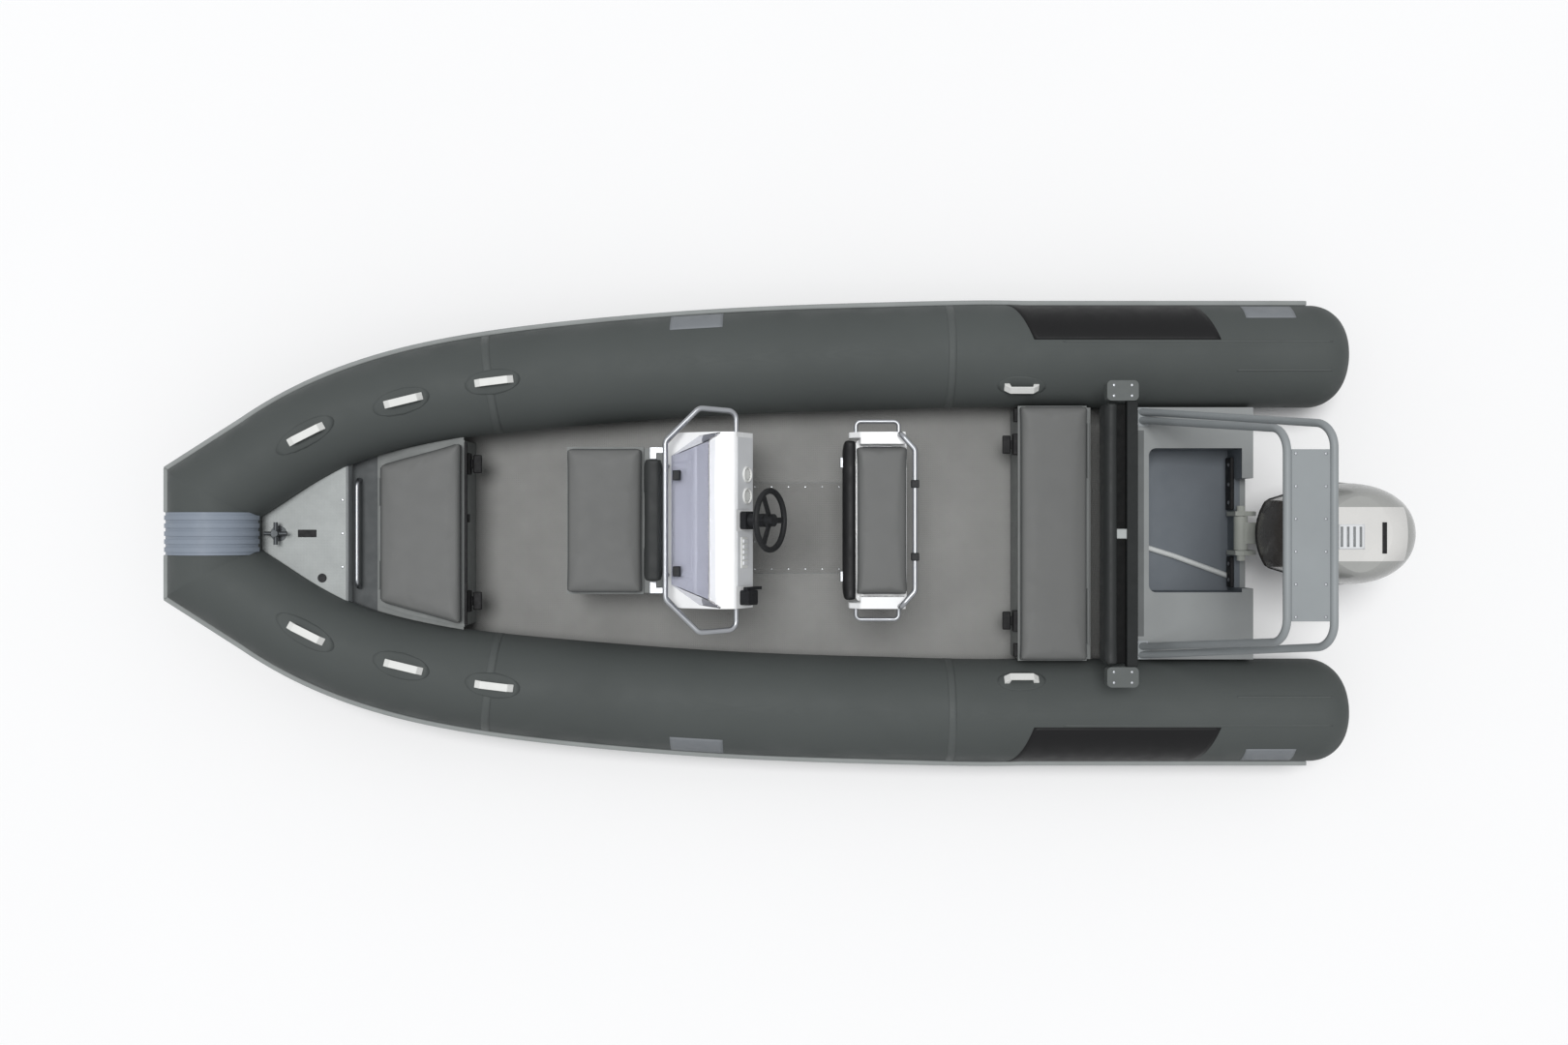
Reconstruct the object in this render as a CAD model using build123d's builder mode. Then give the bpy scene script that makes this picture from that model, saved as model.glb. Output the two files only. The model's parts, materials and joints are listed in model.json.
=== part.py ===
"""A 6.4 m rigid inflatable boat with lockers, an offset console, seats, a raked arch and an outboard.

X points to the bow, Y to port and Z up. The origin lies amidships on the waterline. Sizes are in mm.
"""
import os
from math import atan, cos, degrees, pi, radians, sin

from build123d import *

os.makedirs("parts", exist_ok=True)

# Layout along the boat: the stern fittings keep their places from the transom
TRANSOM_X = -2550
STERN_FORE_X = TRANSOM_X + 750
BENCH_AFT_X = STERN_FORE_X + 155
BENCH_FORE_X = BENCH_AFT_X + 373
BULKHEAD_X = 2345

# Collar: the inflated tubes
TUBE_Y = 972
TUBE_Z = 340
TUBE_R = 280
TUBE_STERN_X = TRANSOM_X - 520
TUBE_END_ROUND = 190
SEAT_GAP = 0.8
CHAMBER_GAP = 0.4
STRAKE_DEEP = 25
STRAKE_TALL = 66
# Each row is a station of the tube's axis: x, inset from TUBE_Y, rise over TUBE_Z, loss of radius
COLLAR_STATIONS = (
    (-1300, 0, 0, 0),
    (-900, 0, 0, 0),
    (0, 26, 0, 0),
    (800, 75, 10, 2),
    (1590, 160, 62, 12),
    (2025, 241, 115, 25),
    (2385, 361, 182, 37),
    (2748, 567, 245, 44),
)
NOSE_X = 3034
NOSE_INSET = 760
NOSE_RISE = 278
BOW_PAD_WIDE = 224
BOW_PAD_THICK = 8

# Hull and deck
KEEL_Z = -300
CHINE_Y = 860
CHINE_Z = 20
HULL_TOP = 110
DECK_THICK = 10
DECK_Z = HULL_TOP + DECK_THICK
BOW_DECK_Z = TUBE_Z + 220
BOW_DECK_THICK = 12
# Each row is a hull section: x, keel rise, chine inset, chine rise, sheer inset from TUBE_Y, sheer rise
HULL_SECTIONS = (
    (-300, 0, 0, 0, 60, -40),
    (100, 0, 8, 4, 68, -38),
    (800, 4, 70, 24, 110, -10),
    (1590, 34, 200, 48, 200, 60),
    (2100, 105, 340, 60, 320, 245),
    (2500, 232, 500, 112, 475, 270),
    (2800, 420, 680, 272, 645, 280),
    (3000, 655, 812, 432, 775, 280),
)
# Each row is a point of the cockpit's edge: x, inset from TUBE_Y
COCKPIT_EDGE = ((TRANSOM_X, 112), (0, 138), (800, 212), (1590, 362), (BULKHEAD_X, 542))

# Lockers and seats
WALL = 10
LID_THICK = 15
LID_GAP = 0.4
CUSHION = 70
KNUCKLE_R = 8
BOW_RIM_Z = DECK_Z + 335
BOW_LID_AFT_X = 1734
BOW_LID_FORE_X = 2190
# Each row is a point of the bow locker's side: x, half width
BOW_LOCKER_EDGE = ((1742, 505), (2050, 445), (BULKHEAD_X - 1, 345))
BENCH_RIM_Z = DECK_Z + 320
BENCH_HALF = TUBE_Y - TUBE_R - 7
STERN_TOP_Z = DECK_Z + 340
WELL_FORE_X = STERN_FORE_X - 183
WELL_AFT_X = TRANSOM_X + 61
WELL_PORT_Y = 321
WELL_STARBOARD_Y = -463
WELL_FLOOR_Z = DECK_Z + 70
TRANSOM_TOP_Z = DECK_Z + 195
MOTOR_GAP_HALF = 300

# Console group, set off to starboard
CONSOLE_Y = -70
CONSOLE_HALF = 450
CONSOLE_FRONT_X = 640
CONSOLE_TOP_Z = DECK_Z + 890
DASH_TOP_X = 245
DASH_FOOT_X = 160
DASH_DROP = 160
WHEEL_R = 165
WHEEL_REACH = 150
FRONT_SEAT_FORE_X = 1160
FRONT_SEAT_HALF = 390
FRONT_SEAT_RIM_Z = DECK_Z + 405
FRONT_LID_AFT_X = 755
HELM_FORE_X = -372
HELM_AFT_X = -640
HELM_HALF = 425
HELM_SEAT_Z = DECK_Z + 670
RAIL_R = 14

# Arch
ARCH_R = 19
ARCH_TOP_Z = DECK_Z + 1615
ARCH_FOOT_X = STERN_FORE_X - 145
ARCH_FRONT_X = ARCH_FOOT_X - 368
ARCH_REAR_X = ARCH_FRONT_X - 217
ARCH_INNER_Y = BENCH_HALF - 72
ARCH_OUTER_Y = BENCH_HALF - 25
ARCH_BEND = 120

# Outboard
PIVOT_X = TRANSOM_X + 50
PIVOT_Z = TRANSOM_TOP_Z + 85
PIVOT_R = 22
KINGPIN_X = TRANSOM_X - 105
KINGPIN_R = 24
RUN_GAP = 0.3
COWL_FORE_X = TRANSOM_X + 15
COWL_AFT_X = COWL_FORE_X - 775
COWL_FOOT_Z = PIVOT_Z + 70
COWL_SPLIT_Z = COWL_FOOT_Z + 90
COWL_TOP_Z = COWL_FOOT_Z + 580
PLATE_Z = KEEL_Z - 30
PROP_Z = PLATE_Z - 205
PROP_X = TRANSOM_X - 525
PROP_R = 185
HUB_R = 52
HUB_LONG = 110


def block(x0, x1, y0, y1, z0, z1, mode=Mode.ADD):
    """A plain block between two opposite corners."""
    with Locations(((x0 + x1) / 2, (y0 + y1) / 2, (z0 + z1) / 2)):
        Box(abs(x1 - x0), abs(y1 - y0), abs(z1 - z0), mode=mode)


def bar(x, z, radius, y0, y1, mode=Mode.ADD):
    """A round bar that lies across the boat."""
    with Locations((x, (y0 + y1) / 2, z)):
        Cylinder(radius, abs(y1 - y0), rotation=(90, 0, 0), mode=mode)


def side_profile(points, y0, y1, mode=Mode.ADD):
    """A side view outline carried across the boat from y0 to y1."""
    with BuildSketch(Plane(origin=(0, y0, 0), x_dir=(1, 0, 0), z_dir=(0, -1, 0))) as outline:
        Polygon(*points, align=None)
    extrude(outline.sketch, amount=y1 - y0, dir=(0, 1, 0), mode=mode)


def plan(points, z0, z1, mode=Mode.ADD):
    """A plan view outline carried up from z0 to z1."""
    with BuildSketch(Plane.XY.offset(z0)) as outline:
        Polygon(*points, align=None)
    extrude(outline.sketch, amount=z1 - z0, dir=(0, 0, 1), mode=mode)


def both_sides(rows):
    """A closed plan outline from rows of x and half width on the port side."""
    return [(x, y) for x, y in rows] + [(x, -y) for x, y in reversed(rows)]


def rail(points, bend, radius):
    """A round rail bent along corner points."""
    with BuildPart() as bent:
        with BuildLine() as path:
            FilletPolyline(*points, radius=bend)
        with BuildSketch(Plane(origin=path.line @ 0, z_dir=path.line % 0)):
            Circle(radius)
        sweep()
    return bent.part


def finish(part, name):
    """Names a finished sub-part and writes it to its own file."""
    part.label = name
    export_step(part, f"parts/{name}.step")


# The collar's stations as planes square to the tube's axis, local x outward and local y up
COLLAR_POINTS = [Vector(x, TUBE_Y - inset, TUBE_Z + rise) for x, inset, rise, _ in COLLAR_STATIONS]
COLLAR_RADII = [TUBE_R - loss for _, _, _, loss in COLLAR_STATIONS]
BOW_R = COLLAR_RADII[-1]
NOSE = Vector(NOSE_X, TUBE_Y - NOSE_INSET, TUBE_Z + NOSE_RISE)
COLLAR_HEADINGS = [Vector(1, 0, 0), Vector(1, 0, 0)]
for before, after in zip(COLLAR_POINTS[1:-2], COLLAR_POINTS[3:]):
    COLLAR_HEADINGS.append((after - before).normalized())
COLLAR_HEADINGS.append((NOSE - COLLAR_POINTS[-1]).normalized())
COLLAR_PLANES = [
    Plane(origin=point, x_dir=(-heading.Y, heading.X, 0), z_dir=heading)
    for point, heading in zip(COLLAR_POINTS, COLLAR_HEADINGS)
]
MITRE_WAY = COLLAR_HEADINGS[-1] + Vector(0, -1, 0)
MITRE_PORT = Plane(origin=NOSE, z_dir=MITRE_WAY)
MITRE_STARBOARD = Plane(origin=(NOSE.X, -NOSE.Y, NOSE.Z), z_dir=(MITRE_WAY.X, -MITRE_WAY.Y, MITRE_WAY.Z))
NOSE_PLANE = Plane(origin=(NOSE.X, 0, NOSE.Z), x_dir=(1, 0, 0), z_dir=(0, 1, 0))


def collar_side(draw, stern_x):
    """The port run of whatever follows the collar; draw(radius) sketches it at each station."""
    with BuildPart() as run:
        for plane, radius in zip(COLLAR_PLANES, COLLAR_RADII):
            with BuildSketch(plane):
                draw(radius)
        loft()
        with BuildSketch(COLLAR_PLANES[0]):
            draw(COLLAR_RADII[0])
        extrude(amount=stern_x - COLLAR_POINTS[0].X)
        with BuildSketch(COLLAR_PLANES[-1]):
            draw(BOW_R)
        extrude(amount=3 * BOW_R)
        split(bisect_by=MITRE_PORT, keep=Keep.BOTTOM)
    return run.part


def collar_nose(draw):
    """The run across the bow between the two mitres."""
    with BuildPart() as run:
        with BuildSketch(NOSE_PLANE):
            draw(BOW_R)
        extrude(amount=4 * BOW_R, both=True)
        split(bisect_by=MITRE_PORT, keep=Keep.TOP)
        split(bisect_by=MITRE_STARBOARD, keep=Keep.TOP)
    return run.part


def draw_seat(radius):
    """The tube's section with a little room round it, for what seats on the tube."""
    Circle(radius + SEAT_GAP)


def draw_strake(radius):
    """The rub strake's section, let into the tube's outer edge."""
    with Locations((radius - 20 + (STRAKE_DEEP + 20) / 2, 0)):
        Rectangle(STRAKE_DEEP + 20, STRAKE_TALL)


SEAT_PORT = collar_side(draw_seat, TUBE_STERN_X - 100)
SEAT_STARBOARD = mirror(SEAT_PORT, about=Plane.XZ)
SEAT_NOSE = collar_nose(draw_seat)
SEATS = (SEAT_PORT, SEAT_STARBOARD, SEAT_NOSE)

# Collar tubes: two long runs of three air chambers with rounded stern ends, and the blunt bow between them
CHAMBER_STATIONS = (1, 4)
with BuildPart() as tube_port:
    add(collar_side(Circle, TUBE_STERN_X))
    fillet(tube_port.edges().sort_by(Axis.X)[0], TUBE_END_ROUND)
    for station in CHAMBER_STATIONS:
        with Locations(COLLAR_PLANES[station]):
            Box(3 * TUBE_R, 3 * TUBE_R, CHAMBER_GAP, mode=Mode.SUBTRACT)
finish(tube_port.part, "tube_port")

with BuildPart() as tube_starboard:
    add(mirror(tube_port.part, about=Plane.XZ))
finish(tube_starboard.part, "tube_starboard")

with BuildPart() as tube_bow:
    add(collar_nose(Circle))
finish(tube_bow.part, "tube_bow")

# Rub strake round the collar's outer edge, broken at the bow pad
STRAKE_STERN_X = TUBE_STERN_X + TUBE_END_ROUND + 10
with BuildPart() as strake_port:
    add(collar_side(draw_strake, STRAKE_STERN_X))
    add(SEAT_PORT, mode=Mode.SUBTRACT)

with BuildPart() as strake_bow:
    add(collar_nose(draw_strake))
    add(SEAT_NOSE, mode=Mode.SUBTRACT)
    block(NOSE_X, NOSE_X + 2 * BOW_R, -BOW_PAD_WIDE / 2 - 1, BOW_PAD_WIDE / 2 + 1, 0, 2000, Mode.SUBTRACT)

rub_strake = Compound(children=[
    *strake_port.part.solids(), *mirror(strake_port.part, about=Plane.XZ).solids(), *strake_bow.part.solids(),
])
finish(rub_strake, "rub_strake")

# Bow pad: a ribbed wrap over the bow tube from its underside to its inner side
with BuildPart() as bow_pad:
    for thick, y0, y1 in ((BOW_PAD_THICK, -BOW_PAD_WIDE / 2, BOW_PAD_WIDE / 2),) + tuple(
        (BOW_PAD_THICK + 7, y - 12, y + 12) for y in (-84, -42, 0, 42, 84)
    ):
        bar(NOSE_X, NOSE.Z, BOW_R + thick, y0, y1)
    bar(NOSE_X, NOSE.Z, BOW_R + 0.4, -BOW_PAD_WIDE, BOW_PAD_WIDE, Mode.SUBTRACT)
    block(NOSE_X - 2 * BOW_R, NOSE_X, -BOW_PAD_WIDE, BOW_PAD_WIDE, 0, NOSE.Z + 30, Mode.SUBTRACT)
    block(NOSE_X - 2 * BOW_R, NOSE_X + 2 * BOW_R, -BOW_PAD_WIDE, BOW_PAD_WIDE, 0, NOSE.Z - 170, Mode.SUBTRACT)
    add(SEAT_PORT, mode=Mode.SUBTRACT)
    add(SEAT_STARBOARD, mode=Mode.SUBTRACT)
finish(bow_pad.part, "bow_pad")

# Grab handles on the tubes: x, distance inboard of the crest along the tube's round, length
HANDLES = ((2535, 0.10, 204), (2050, 0.12, 204), (1560, 0.04, 204), (-1277, 0.72, 186))


def collar_at(x):
    """The tube's axis, heading and radius at a given x, between the two nearest stations."""
    for i in range(len(COLLAR_POINTS) - 1):
        here, there = COLLAR_POINTS[i], COLLAR_POINTS[i + 1]
        if here.X <= x <= there.X:
            part_way = (x - here.X) / (there.X - here.X)
            heading = COLLAR_HEADINGS[i] * (1 - part_way) + COLLAR_HEADINGS[i + 1] * part_way
            radius = COLLAR_RADII[i] * (1 - part_way) + COLLAR_RADII[i + 1] * part_way
            return here + (there - here) * part_way, heading, radius


with BuildPart() as grab_handles:
    for x, lean, long in HANDLES:
        axis_point, heading, radius = collar_at(x)
        outward = Vector(-heading.Y, heading.X, 0).normalized()
        upward = heading.cross(outward).normalized()
        rise = upward * cos(lean) - outward * sin(lean)
        with BuildSketch(Plane(origin=axis_point + rise * radius, x_dir=heading, z_dir=heading.cross(rise))):
            with BuildLine():
                Polyline(
                    (-long / 2, -14), (-long / 2, 8), (-long / 2 + 30, 34), (long / 2 - 30, 34),
                    (long / 2, 8), (long / 2, -14), (long / 2 - 26, -14), (long / 2 - 36, 24),
                    (-long / 2 + 36, 24),
                    (-long / 2 + 26, -14), close=True,
                )
            make_face()
        extrude(amount=20, both=True)
    mirror(about=Plane.XZ)
    add(SEAT_PORT, mode=Mode.SUBTRACT)
    add(SEAT_STARBOARD, mode=Mode.SUBTRACT)
finish(grab_handles.part, "grab_handles")


# Hull: a vee bottom with spray rails, seated against the tubes and flat under the deck
def hull_section(row):
    """Keel, chine and sheer points of one hull section, as y and z on the port side."""
    _, keel_rise, chine_in, chine_rise, sheer_in, sheer_rise = row
    keel = (0, KEEL_Z + keel_rise)
    chine = (CHINE_Y - chine_in, CHINE_Z + chine_rise)
    return keel, chine, (TUBE_Y - sheer_in, TUBE_Z + sheer_rise)


def across(x):
    """The cross plane at x, local x to port and local y up."""
    return Plane(origin=(x, 0, 0), x_dir=(0, 1, 0), z_dir=(1, 0, 0))


def draw_hull(row):
    """One whole hull section."""
    keel, chine, sheer = hull_section(row)
    Polygon(keel, chine, sheer, (-sheer[0], sheer[1]), (-chine[0], chine[1]), align=None)


def draw_spray_rail(row, out):
    """One spray rail: a wedge with a level underside, at a share of the way out to the chine."""
    keel, chine, _ = hull_section(row)
    inner = tuple(k + (out - 0.09) * (c - k) for k, c in zip(keel, chine))
    outer = tuple(k + out * (c - k) for k, c in zip(keel, chine))
    Polygon(inner, (outer[0], inner[1]), outer, (inner[0], outer[1] + 10), align=None)


with BuildPart() as hull:
    for row in HULL_SECTIONS:
        with BuildSketch(across(row[0])):
            draw_hull(row)
    loft()
    with BuildSketch(across(HULL_SECTIONS[0][0])):
        draw_hull(HULL_SECTIONS[0])
    extrude(amount=TRANSOM_X - HULL_SECTIONS[0][0])
    for out in (0.4, 0.72):
        for row in HULL_SECTIONS[:5]:
            with BuildSketch(across(row[0])):
                draw_spray_rail(row, out)
        loft()
        with BuildSketch(across(HULL_SECTIONS[0][0])):
            draw_spray_rail(HULL_SECTIONS[0], out)
        extrude(amount=TRANSOM_X - HULL_SECTIONS[0][0])
    mirror(about=Plane.XZ)
    plan(both_sides([(x, TUBE_Y - inset) for x, inset in COCKPIT_EDGE]), HULL_TOP, 2000, Mode.SUBTRACT)
    block(BULKHEAD_X - 1, 4000, -1000, 1000, BOW_DECK_Z - BOW_DECK_THICK, 2000, Mode.SUBTRACT)
    for seat in SEATS:
        add(seat, mode=Mode.SUBTRACT)
finish(hull.part, "hull")

# Deck with the opening of the tank hatch
HATCH = (HELM_FORE_X - 60, DASH_FOOT_X + 30, -285, 230)
with BuildPart() as deck:
    plan(both_sides([(x, TUBE_Y - inset - 0.5) for x, inset in COCKPIT_EDGE]), HULL_TOP, DECK_Z)
    block(HATCH[0], HATCH[1], HATCH[2], HATCH[3], 0, 2000, Mode.SUBTRACT)
    block(BULKHEAD_X - 0.5, 4000, -1000, 1000, 0, 2000, Mode.SUBTRACT)
    for seat in SEATS:
        add(seat, mode=Mode.SUBTRACT)
finish(deck.part, "deck")

with BuildPart() as deck_hatch:
    block(HATCH[0] + 3, HATCH[1] - 3, HATCH[2] + 3, HATCH[3] - 3, HULL_TOP, DECK_Z)
finish(deck_hatch.part, "deck_hatch")

# Bow deck plate with the rope slot, and its crossed bitt
with BuildPart() as bow_deck:
    plan(both_sides([(BULKHEAD_X + 5, 430), (2830, 165)]), BOW_DECK_Z - BOW_DECK_THICK, BOW_DECK_Z)
    block(2510, 2610, -21, 21, 0, 2000, Mode.SUBTRACT)
    for seat in SEATS:
        add(seat, mode=Mode.SUBTRACT)
finish(bow_deck.part, "bow_deck")

BITT_X = 2712
with BuildPart() as bow_bitt:
    with Locations((BITT_X, 0, BOW_DECK_Z)):
        Cylinder(42, 8, align=(Align.CENTER, Align.CENTER, Align.MIN))
        Cylinder(18, 76, align=(Align.CENTER, Align.CENTER, Align.MIN))
    bar(BITT_X, BOW_DECK_Z + 52, 11, -60, 60)
    with Locations((BITT_X, 0, BOW_DECK_Z + 52)):
        Cylinder(11, 120, rotation=(0, 90, 0))
finish(bow_bitt.part, "bow_bitt")

# Towing eyes: one on the stem, two on the transom
EYE_R = 13
BOW_EYE = (2868, KEEL_Z + 355)
with BuildPart() as bow_eye:
    bar(BOW_EYE[0], BOW_EYE[1], 30, -9, 9)
    side_profile([(BOW_EYE[0] + 21, BOW_EYE[1] + 21), (BOW_EYE[0] - 60, BOW_EYE[1] + 102),
                  (BOW_EYE[0] - 102, BOW_EYE[1] + 60), (BOW_EYE[0] - 21, BOW_EYE[1] - 21)], -9, 9)
    bar(BOW_EYE[0], BOW_EYE[1], EYE_R, -20, 20, Mode.SUBTRACT)
    add(hull.part, mode=Mode.SUBTRACT)
finish(bow_eye.part, "bow_eye")

STERN_EYE_Y = 430
STERN_EYE_Z = DECK_Z + 60
with BuildPart() as stern_eyes:
    for y in (-STERN_EYE_Y, STERN_EYE_Y):
        block(TRANSOM_X - 8, TRANSOM_X, y - 45, y + 45, STERN_EYE_Z - 35, STERN_EYE_Z + 35)
        block(TRANSOM_X - 45, TRANSOM_X, y - 30, y + 30, STERN_EYE_Z - 8, STERN_EYE_Z + 8)
        with Locations((TRANSOM_X - 45, y, STERN_EYE_Z)):
            Cylinder(30, 16)
            Cylinder(EYE_R, 60, mode=Mode.SUBTRACT)
finish(stern_eyes.part, "stern_eyes")


# Lockers: each lid turns on a barrel between two knuckles of its box
def knuckles(x, rim, spans, leaf_x):
    """Hinge barrels on one line across the boat, each with a leaf to its own side."""
    z = rim + KNUCKLE_R + LID_GAP
    for y0, y1 in spans:
        bar(x, z, KNUCKLE_R, y0, y1)
        block(x, leaf_x, y0, y1, z - KNUCKLE_R + 1, z + KNUCKLE_R - 1)


def knuckle_feet(x, rim, spans):
    """Hinge barrels that stand on the box."""
    z = rim + KNUCKLE_R + LID_GAP
    for y0, y1 in spans:
        bar(x, z, KNUCKLE_R, y0, y1)
        block(x - KNUCKLE_R, x + KNUCKLE_R, y0, y1, rim, z)


# Bow locker with a side flange out to the tubes and a fixed ledge ahead of the lid
BOW_HINGE_X = BOW_LID_FORE_X + KNUCKLE_R + 2
with BuildPart() as bow_locker:
    plan(both_sides(BOW_LOCKER_EDGE), DECK_Z, BOW_RIM_Z)
    plan(both_sides([(x, y + 40) for x, y in BOW_LOCKER_EDGE]), BOW_RIM_Z - 14, BOW_RIM_Z)
    plan(both_sides([(BOW_LOCKER_EDGE[0][0] + WALL, 490), (2050, 430), (BOW_LID_FORE_X - 20, 382)]),
         DECK_Z + WALL, BOW_RIM_Z + 10, Mode.SUBTRACT)
    knuckle_feet(BOW_HINGE_X, BOW_RIM_Z, ((-300, -150.5), (150.5, 300)))
    for seat in SEATS:
        add(seat, mode=Mode.SUBTRACT)
finish(bow_locker.part, "bow_locker")

BOW_LID_EDGE = ((BOW_LID_AFT_X, 507), (2050, 440), (BOW_LID_FORE_X, 392))
with BuildPart() as bow_lid:
    plan(both_sides(BOW_LID_EDGE), BOW_RIM_Z + LID_GAP, BOW_RIM_Z + LID_GAP + LID_THICK)
    knuckles(BOW_HINGE_X, BOW_RIM_Z, ((-150, 150),), BOW_LID_FORE_X - 5)
finish(bow_lid.part, "bow_lid")

BOW_SEAT_Z = BOW_RIM_Z + LID_GAP + LID_THICK
with BuildPart() as bow_cushion:
    plan(both_sides([(BOW_LID_AFT_X + 6, 494), (2050, 412), (BOW_LID_FORE_X - 6, 372)]),
         BOW_SEAT_Z, BOW_SEAT_Z + CUSHION)
    fillet(bow_cushion.edges().group_by(Axis.Z)[-1], 22)
finish(bow_cushion.part, "bow_cushion")

BOW_RAIL_X = 2304
BOW_RAIL_HALF = 290
with BuildPart() as bow_rail:
    add(rail([(BOW_RAIL_X, -BOW_RAIL_HALF, BOW_RIM_Z), (BOW_RAIL_X, -BOW_RAIL_HALF, BOW_RIM_Z + 62),
              (BOW_RAIL_X, BOW_RAIL_HALF, BOW_RIM_Z + 62), (BOW_RAIL_X, BOW_RAIL_HALF, BOW_RIM_Z)], 40, 12))
finish(bow_rail.part, "bow_rail")

# Stern bench locker
BENCH_BOX_AFT_X = BENCH_AFT_X - 2 * KNUCKLE_R - 8
BENCH_HINGE_X = BENCH_AFT_X - KNUCKLE_R - 2
with BuildPart() as bench_box:
    block(BENCH_BOX_AFT_X, BENCH_FORE_X - 8, -BENCH_HALF, BENCH_HALF, DECK_Z, BENCH_RIM_Z)
    block(BENCH_AFT_X + 12, BENCH_FORE_X - 8 - WALL, WALL - BENCH_HALF, BENCH_HALF - WALL,
          DECK_Z + WALL, BENCH_RIM_Z + 10, Mode.SUBTRACT)
    knuckle_feet(BENCH_HINGE_X, BENCH_RIM_Z, ((-600, -300.5), (300.5, 600)))
finish(bench_box.part, "bench_box")

with BuildPart() as bench_lid:
    block(BENCH_AFT_X, BENCH_FORE_X, -BENCH_HALF - 8, BENCH_HALF + 8,
          BENCH_RIM_Z + LID_GAP, BENCH_RIM_Z + LID_GAP + LID_THICK)
    knuckles(BENCH_HINGE_X, BENCH_RIM_Z, ((-300, 300),), BENCH_AFT_X + 5)
finish(bench_lid.part, "bench_lid")

BENCH_SEAT_Z = BENCH_RIM_Z + LID_GAP + LID_THICK
with BuildPart() as bench_cushion:
    block(BENCH_AFT_X + 4, BENCH_FORE_X - 2, -BENCH_HALF - 8, BENCH_HALF + 8,
          BENCH_SEAT_Z, BENCH_SEAT_Z + CUSHION)
    fillet(bench_cushion.edges().group_by(Axis.Z)[-1], 22)
finish(bench_cushion.part, "bench_cushion")

# Rubber latches and corner blocks on the faces of the bow locker and the bench
LATCH_THICK = 28
with BuildPart() as latches:
    for face_x, way, top, centres in (
        (BOW_LOCKER_EDGE[0][0], -1, BOW_RIM_Z - 20, (-380, 372)),
        (BENCH_FORE_X - 8, 1, BENCH_RIM_Z - 6, (-487, 480)),
    ):
        for y in centres:
            block(face_x, face_x + way * LATCH_THICK, y - 58, y + 58, top - 70, top)
            block(face_x, face_x + way * (LATCH_THICK + 8), y - 24, y + 24, top - 95, top - 45)
    block(BOW_LOCKER_EDGE[0][0], BOW_LOCKER_EDGE[0][0] - 20, -105, -60, BOW_RIM_Z - 75, BOW_RIM_Z - 20)
    for y in (-645, 638):
        block(BENCH_FORE_X - 8, BENCH_FORE_X + 16, y - 36, y + 36, BENCH_RIM_Z - 60, BENCH_RIM_Z - 6)
finish(latches.part, "latches")

# Stern block: side decks round the engine well, and the transom with its motor cut-out
STERN_HALF = BENCH_HALF
with BuildPart() as stern_block:
    block(TRANSOM_X, STERN_FORE_X, -STERN_HALF, STERN_HALF, DECK_Z, STERN_TOP_Z)
    block(WELL_AFT_X, WELL_FORE_X, WELL_STARBOARD_Y, WELL_PORT_Y, WELL_FLOOR_Z, 2000, Mode.SUBTRACT)
    block(TRANSOM_X - 10, WELL_AFT_X + 10, -MOTOR_GAP_HALF, MOTOR_GAP_HALF,
          TRANSOM_TOP_Z, 2000, Mode.SUBTRACT)
    upright = stern_block.edges().filter_by(Axis.Z)
    fillet(upright.filter_by_position(Axis.X, WELL_FORE_X - 1, WELL_FORE_X + 1), 40)
finish(stern_block.part, "stern_block")

# Drain hose clipped to the well's floor, from its fore wall to its aft wall
HOSE_R = 10
HOSE_Z = WELL_FLOOR_Z + HOSE_R + 0.4
with BuildPart() as well_hose:
    add(rail([(WELL_FORE_X + 40, 53, HOSE_Z), (WELL_FORE_X - 200, 128, HOSE_Z),
              (WELL_AFT_X - 40, 255, HOSE_Z)], 300, HOSE_R))
    block(WELL_AFT_X + 0.4, WELL_FORE_X - 0.4, -1000, 1000, 0, 2000, Mode.INTERSECT)
finish(well_hose.part, "well_hose")

# Bench backrest: pad, frame bar on two posts, and end brackets
PAD_Z0 = BENCH_SEAT_Z + CUSHION + 140
PAD_Z1 = PAD_Z0 + 190
PAD_FRONT_X = BENCH_AFT_X - 27
PAD_THICK = 56
BAR_X0 = STERN_FORE_X - 35
BAR_X1 = STERN_FORE_X + 22
BACKREST_OVER = 5
BACKREST_HALF = STERN_HALF + BACKREST_OVER
with BuildPart() as bench_backrest:
    block(PAD_FRONT_X - PAD_THICK, PAD_FRONT_X, -BACKREST_HALF, BACKREST_HALF, PAD_Z0, PAD_Z1)
    fillet(bench_backrest.edges().filter_by(Axis.Y), 20)
finish(bench_backrest.part, "bench_backrest")

with BuildPart() as backrest_frame:
    block(BAR_X0, BAR_X1, -BACKREST_HALF, BACKREST_HALF, PAD_Z1 - 66, PAD_Z1 - 10)
    for y in (-480, 480):
        block(BAR_X0 + 8, STERN_FORE_X, y - 25, y + 25, STERN_TOP_Z, PAD_Z1 - 60)
    block(BAR_X1 - 10, PAD_FRONT_X - PAD_THICK, 15 - BACKREST_HALF, BACKREST_HALF - 15,
          PAD_Z1 - 62, PAD_Z1 - 50)
    block(BAR_X1 - 10, PAD_FRONT_X - PAD_THICK, -24, 24, PAD_Z1 - 62, PAD_Z1 - 22)
finish(backrest_frame.part, "backrest_frame")

with BuildPart() as backrest_ends:
    for side in (-1, 1):
        block(BAR_X0, PAD_FRONT_X, side * BACKREST_HALF, side * (BACKREST_HALF + 105),
              PAD_Z1 - 72, PAD_Z1 + 4)
    fillet(backrest_ends.edges().filter_by(Axis.Z), 24)
finish(backrest_ends.part, "backrest_ends")

# Arch: two raked hoops on shared feet, with a plate between their tops
ARCH_FOOT_Z = STERN_TOP_Z + 10


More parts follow.
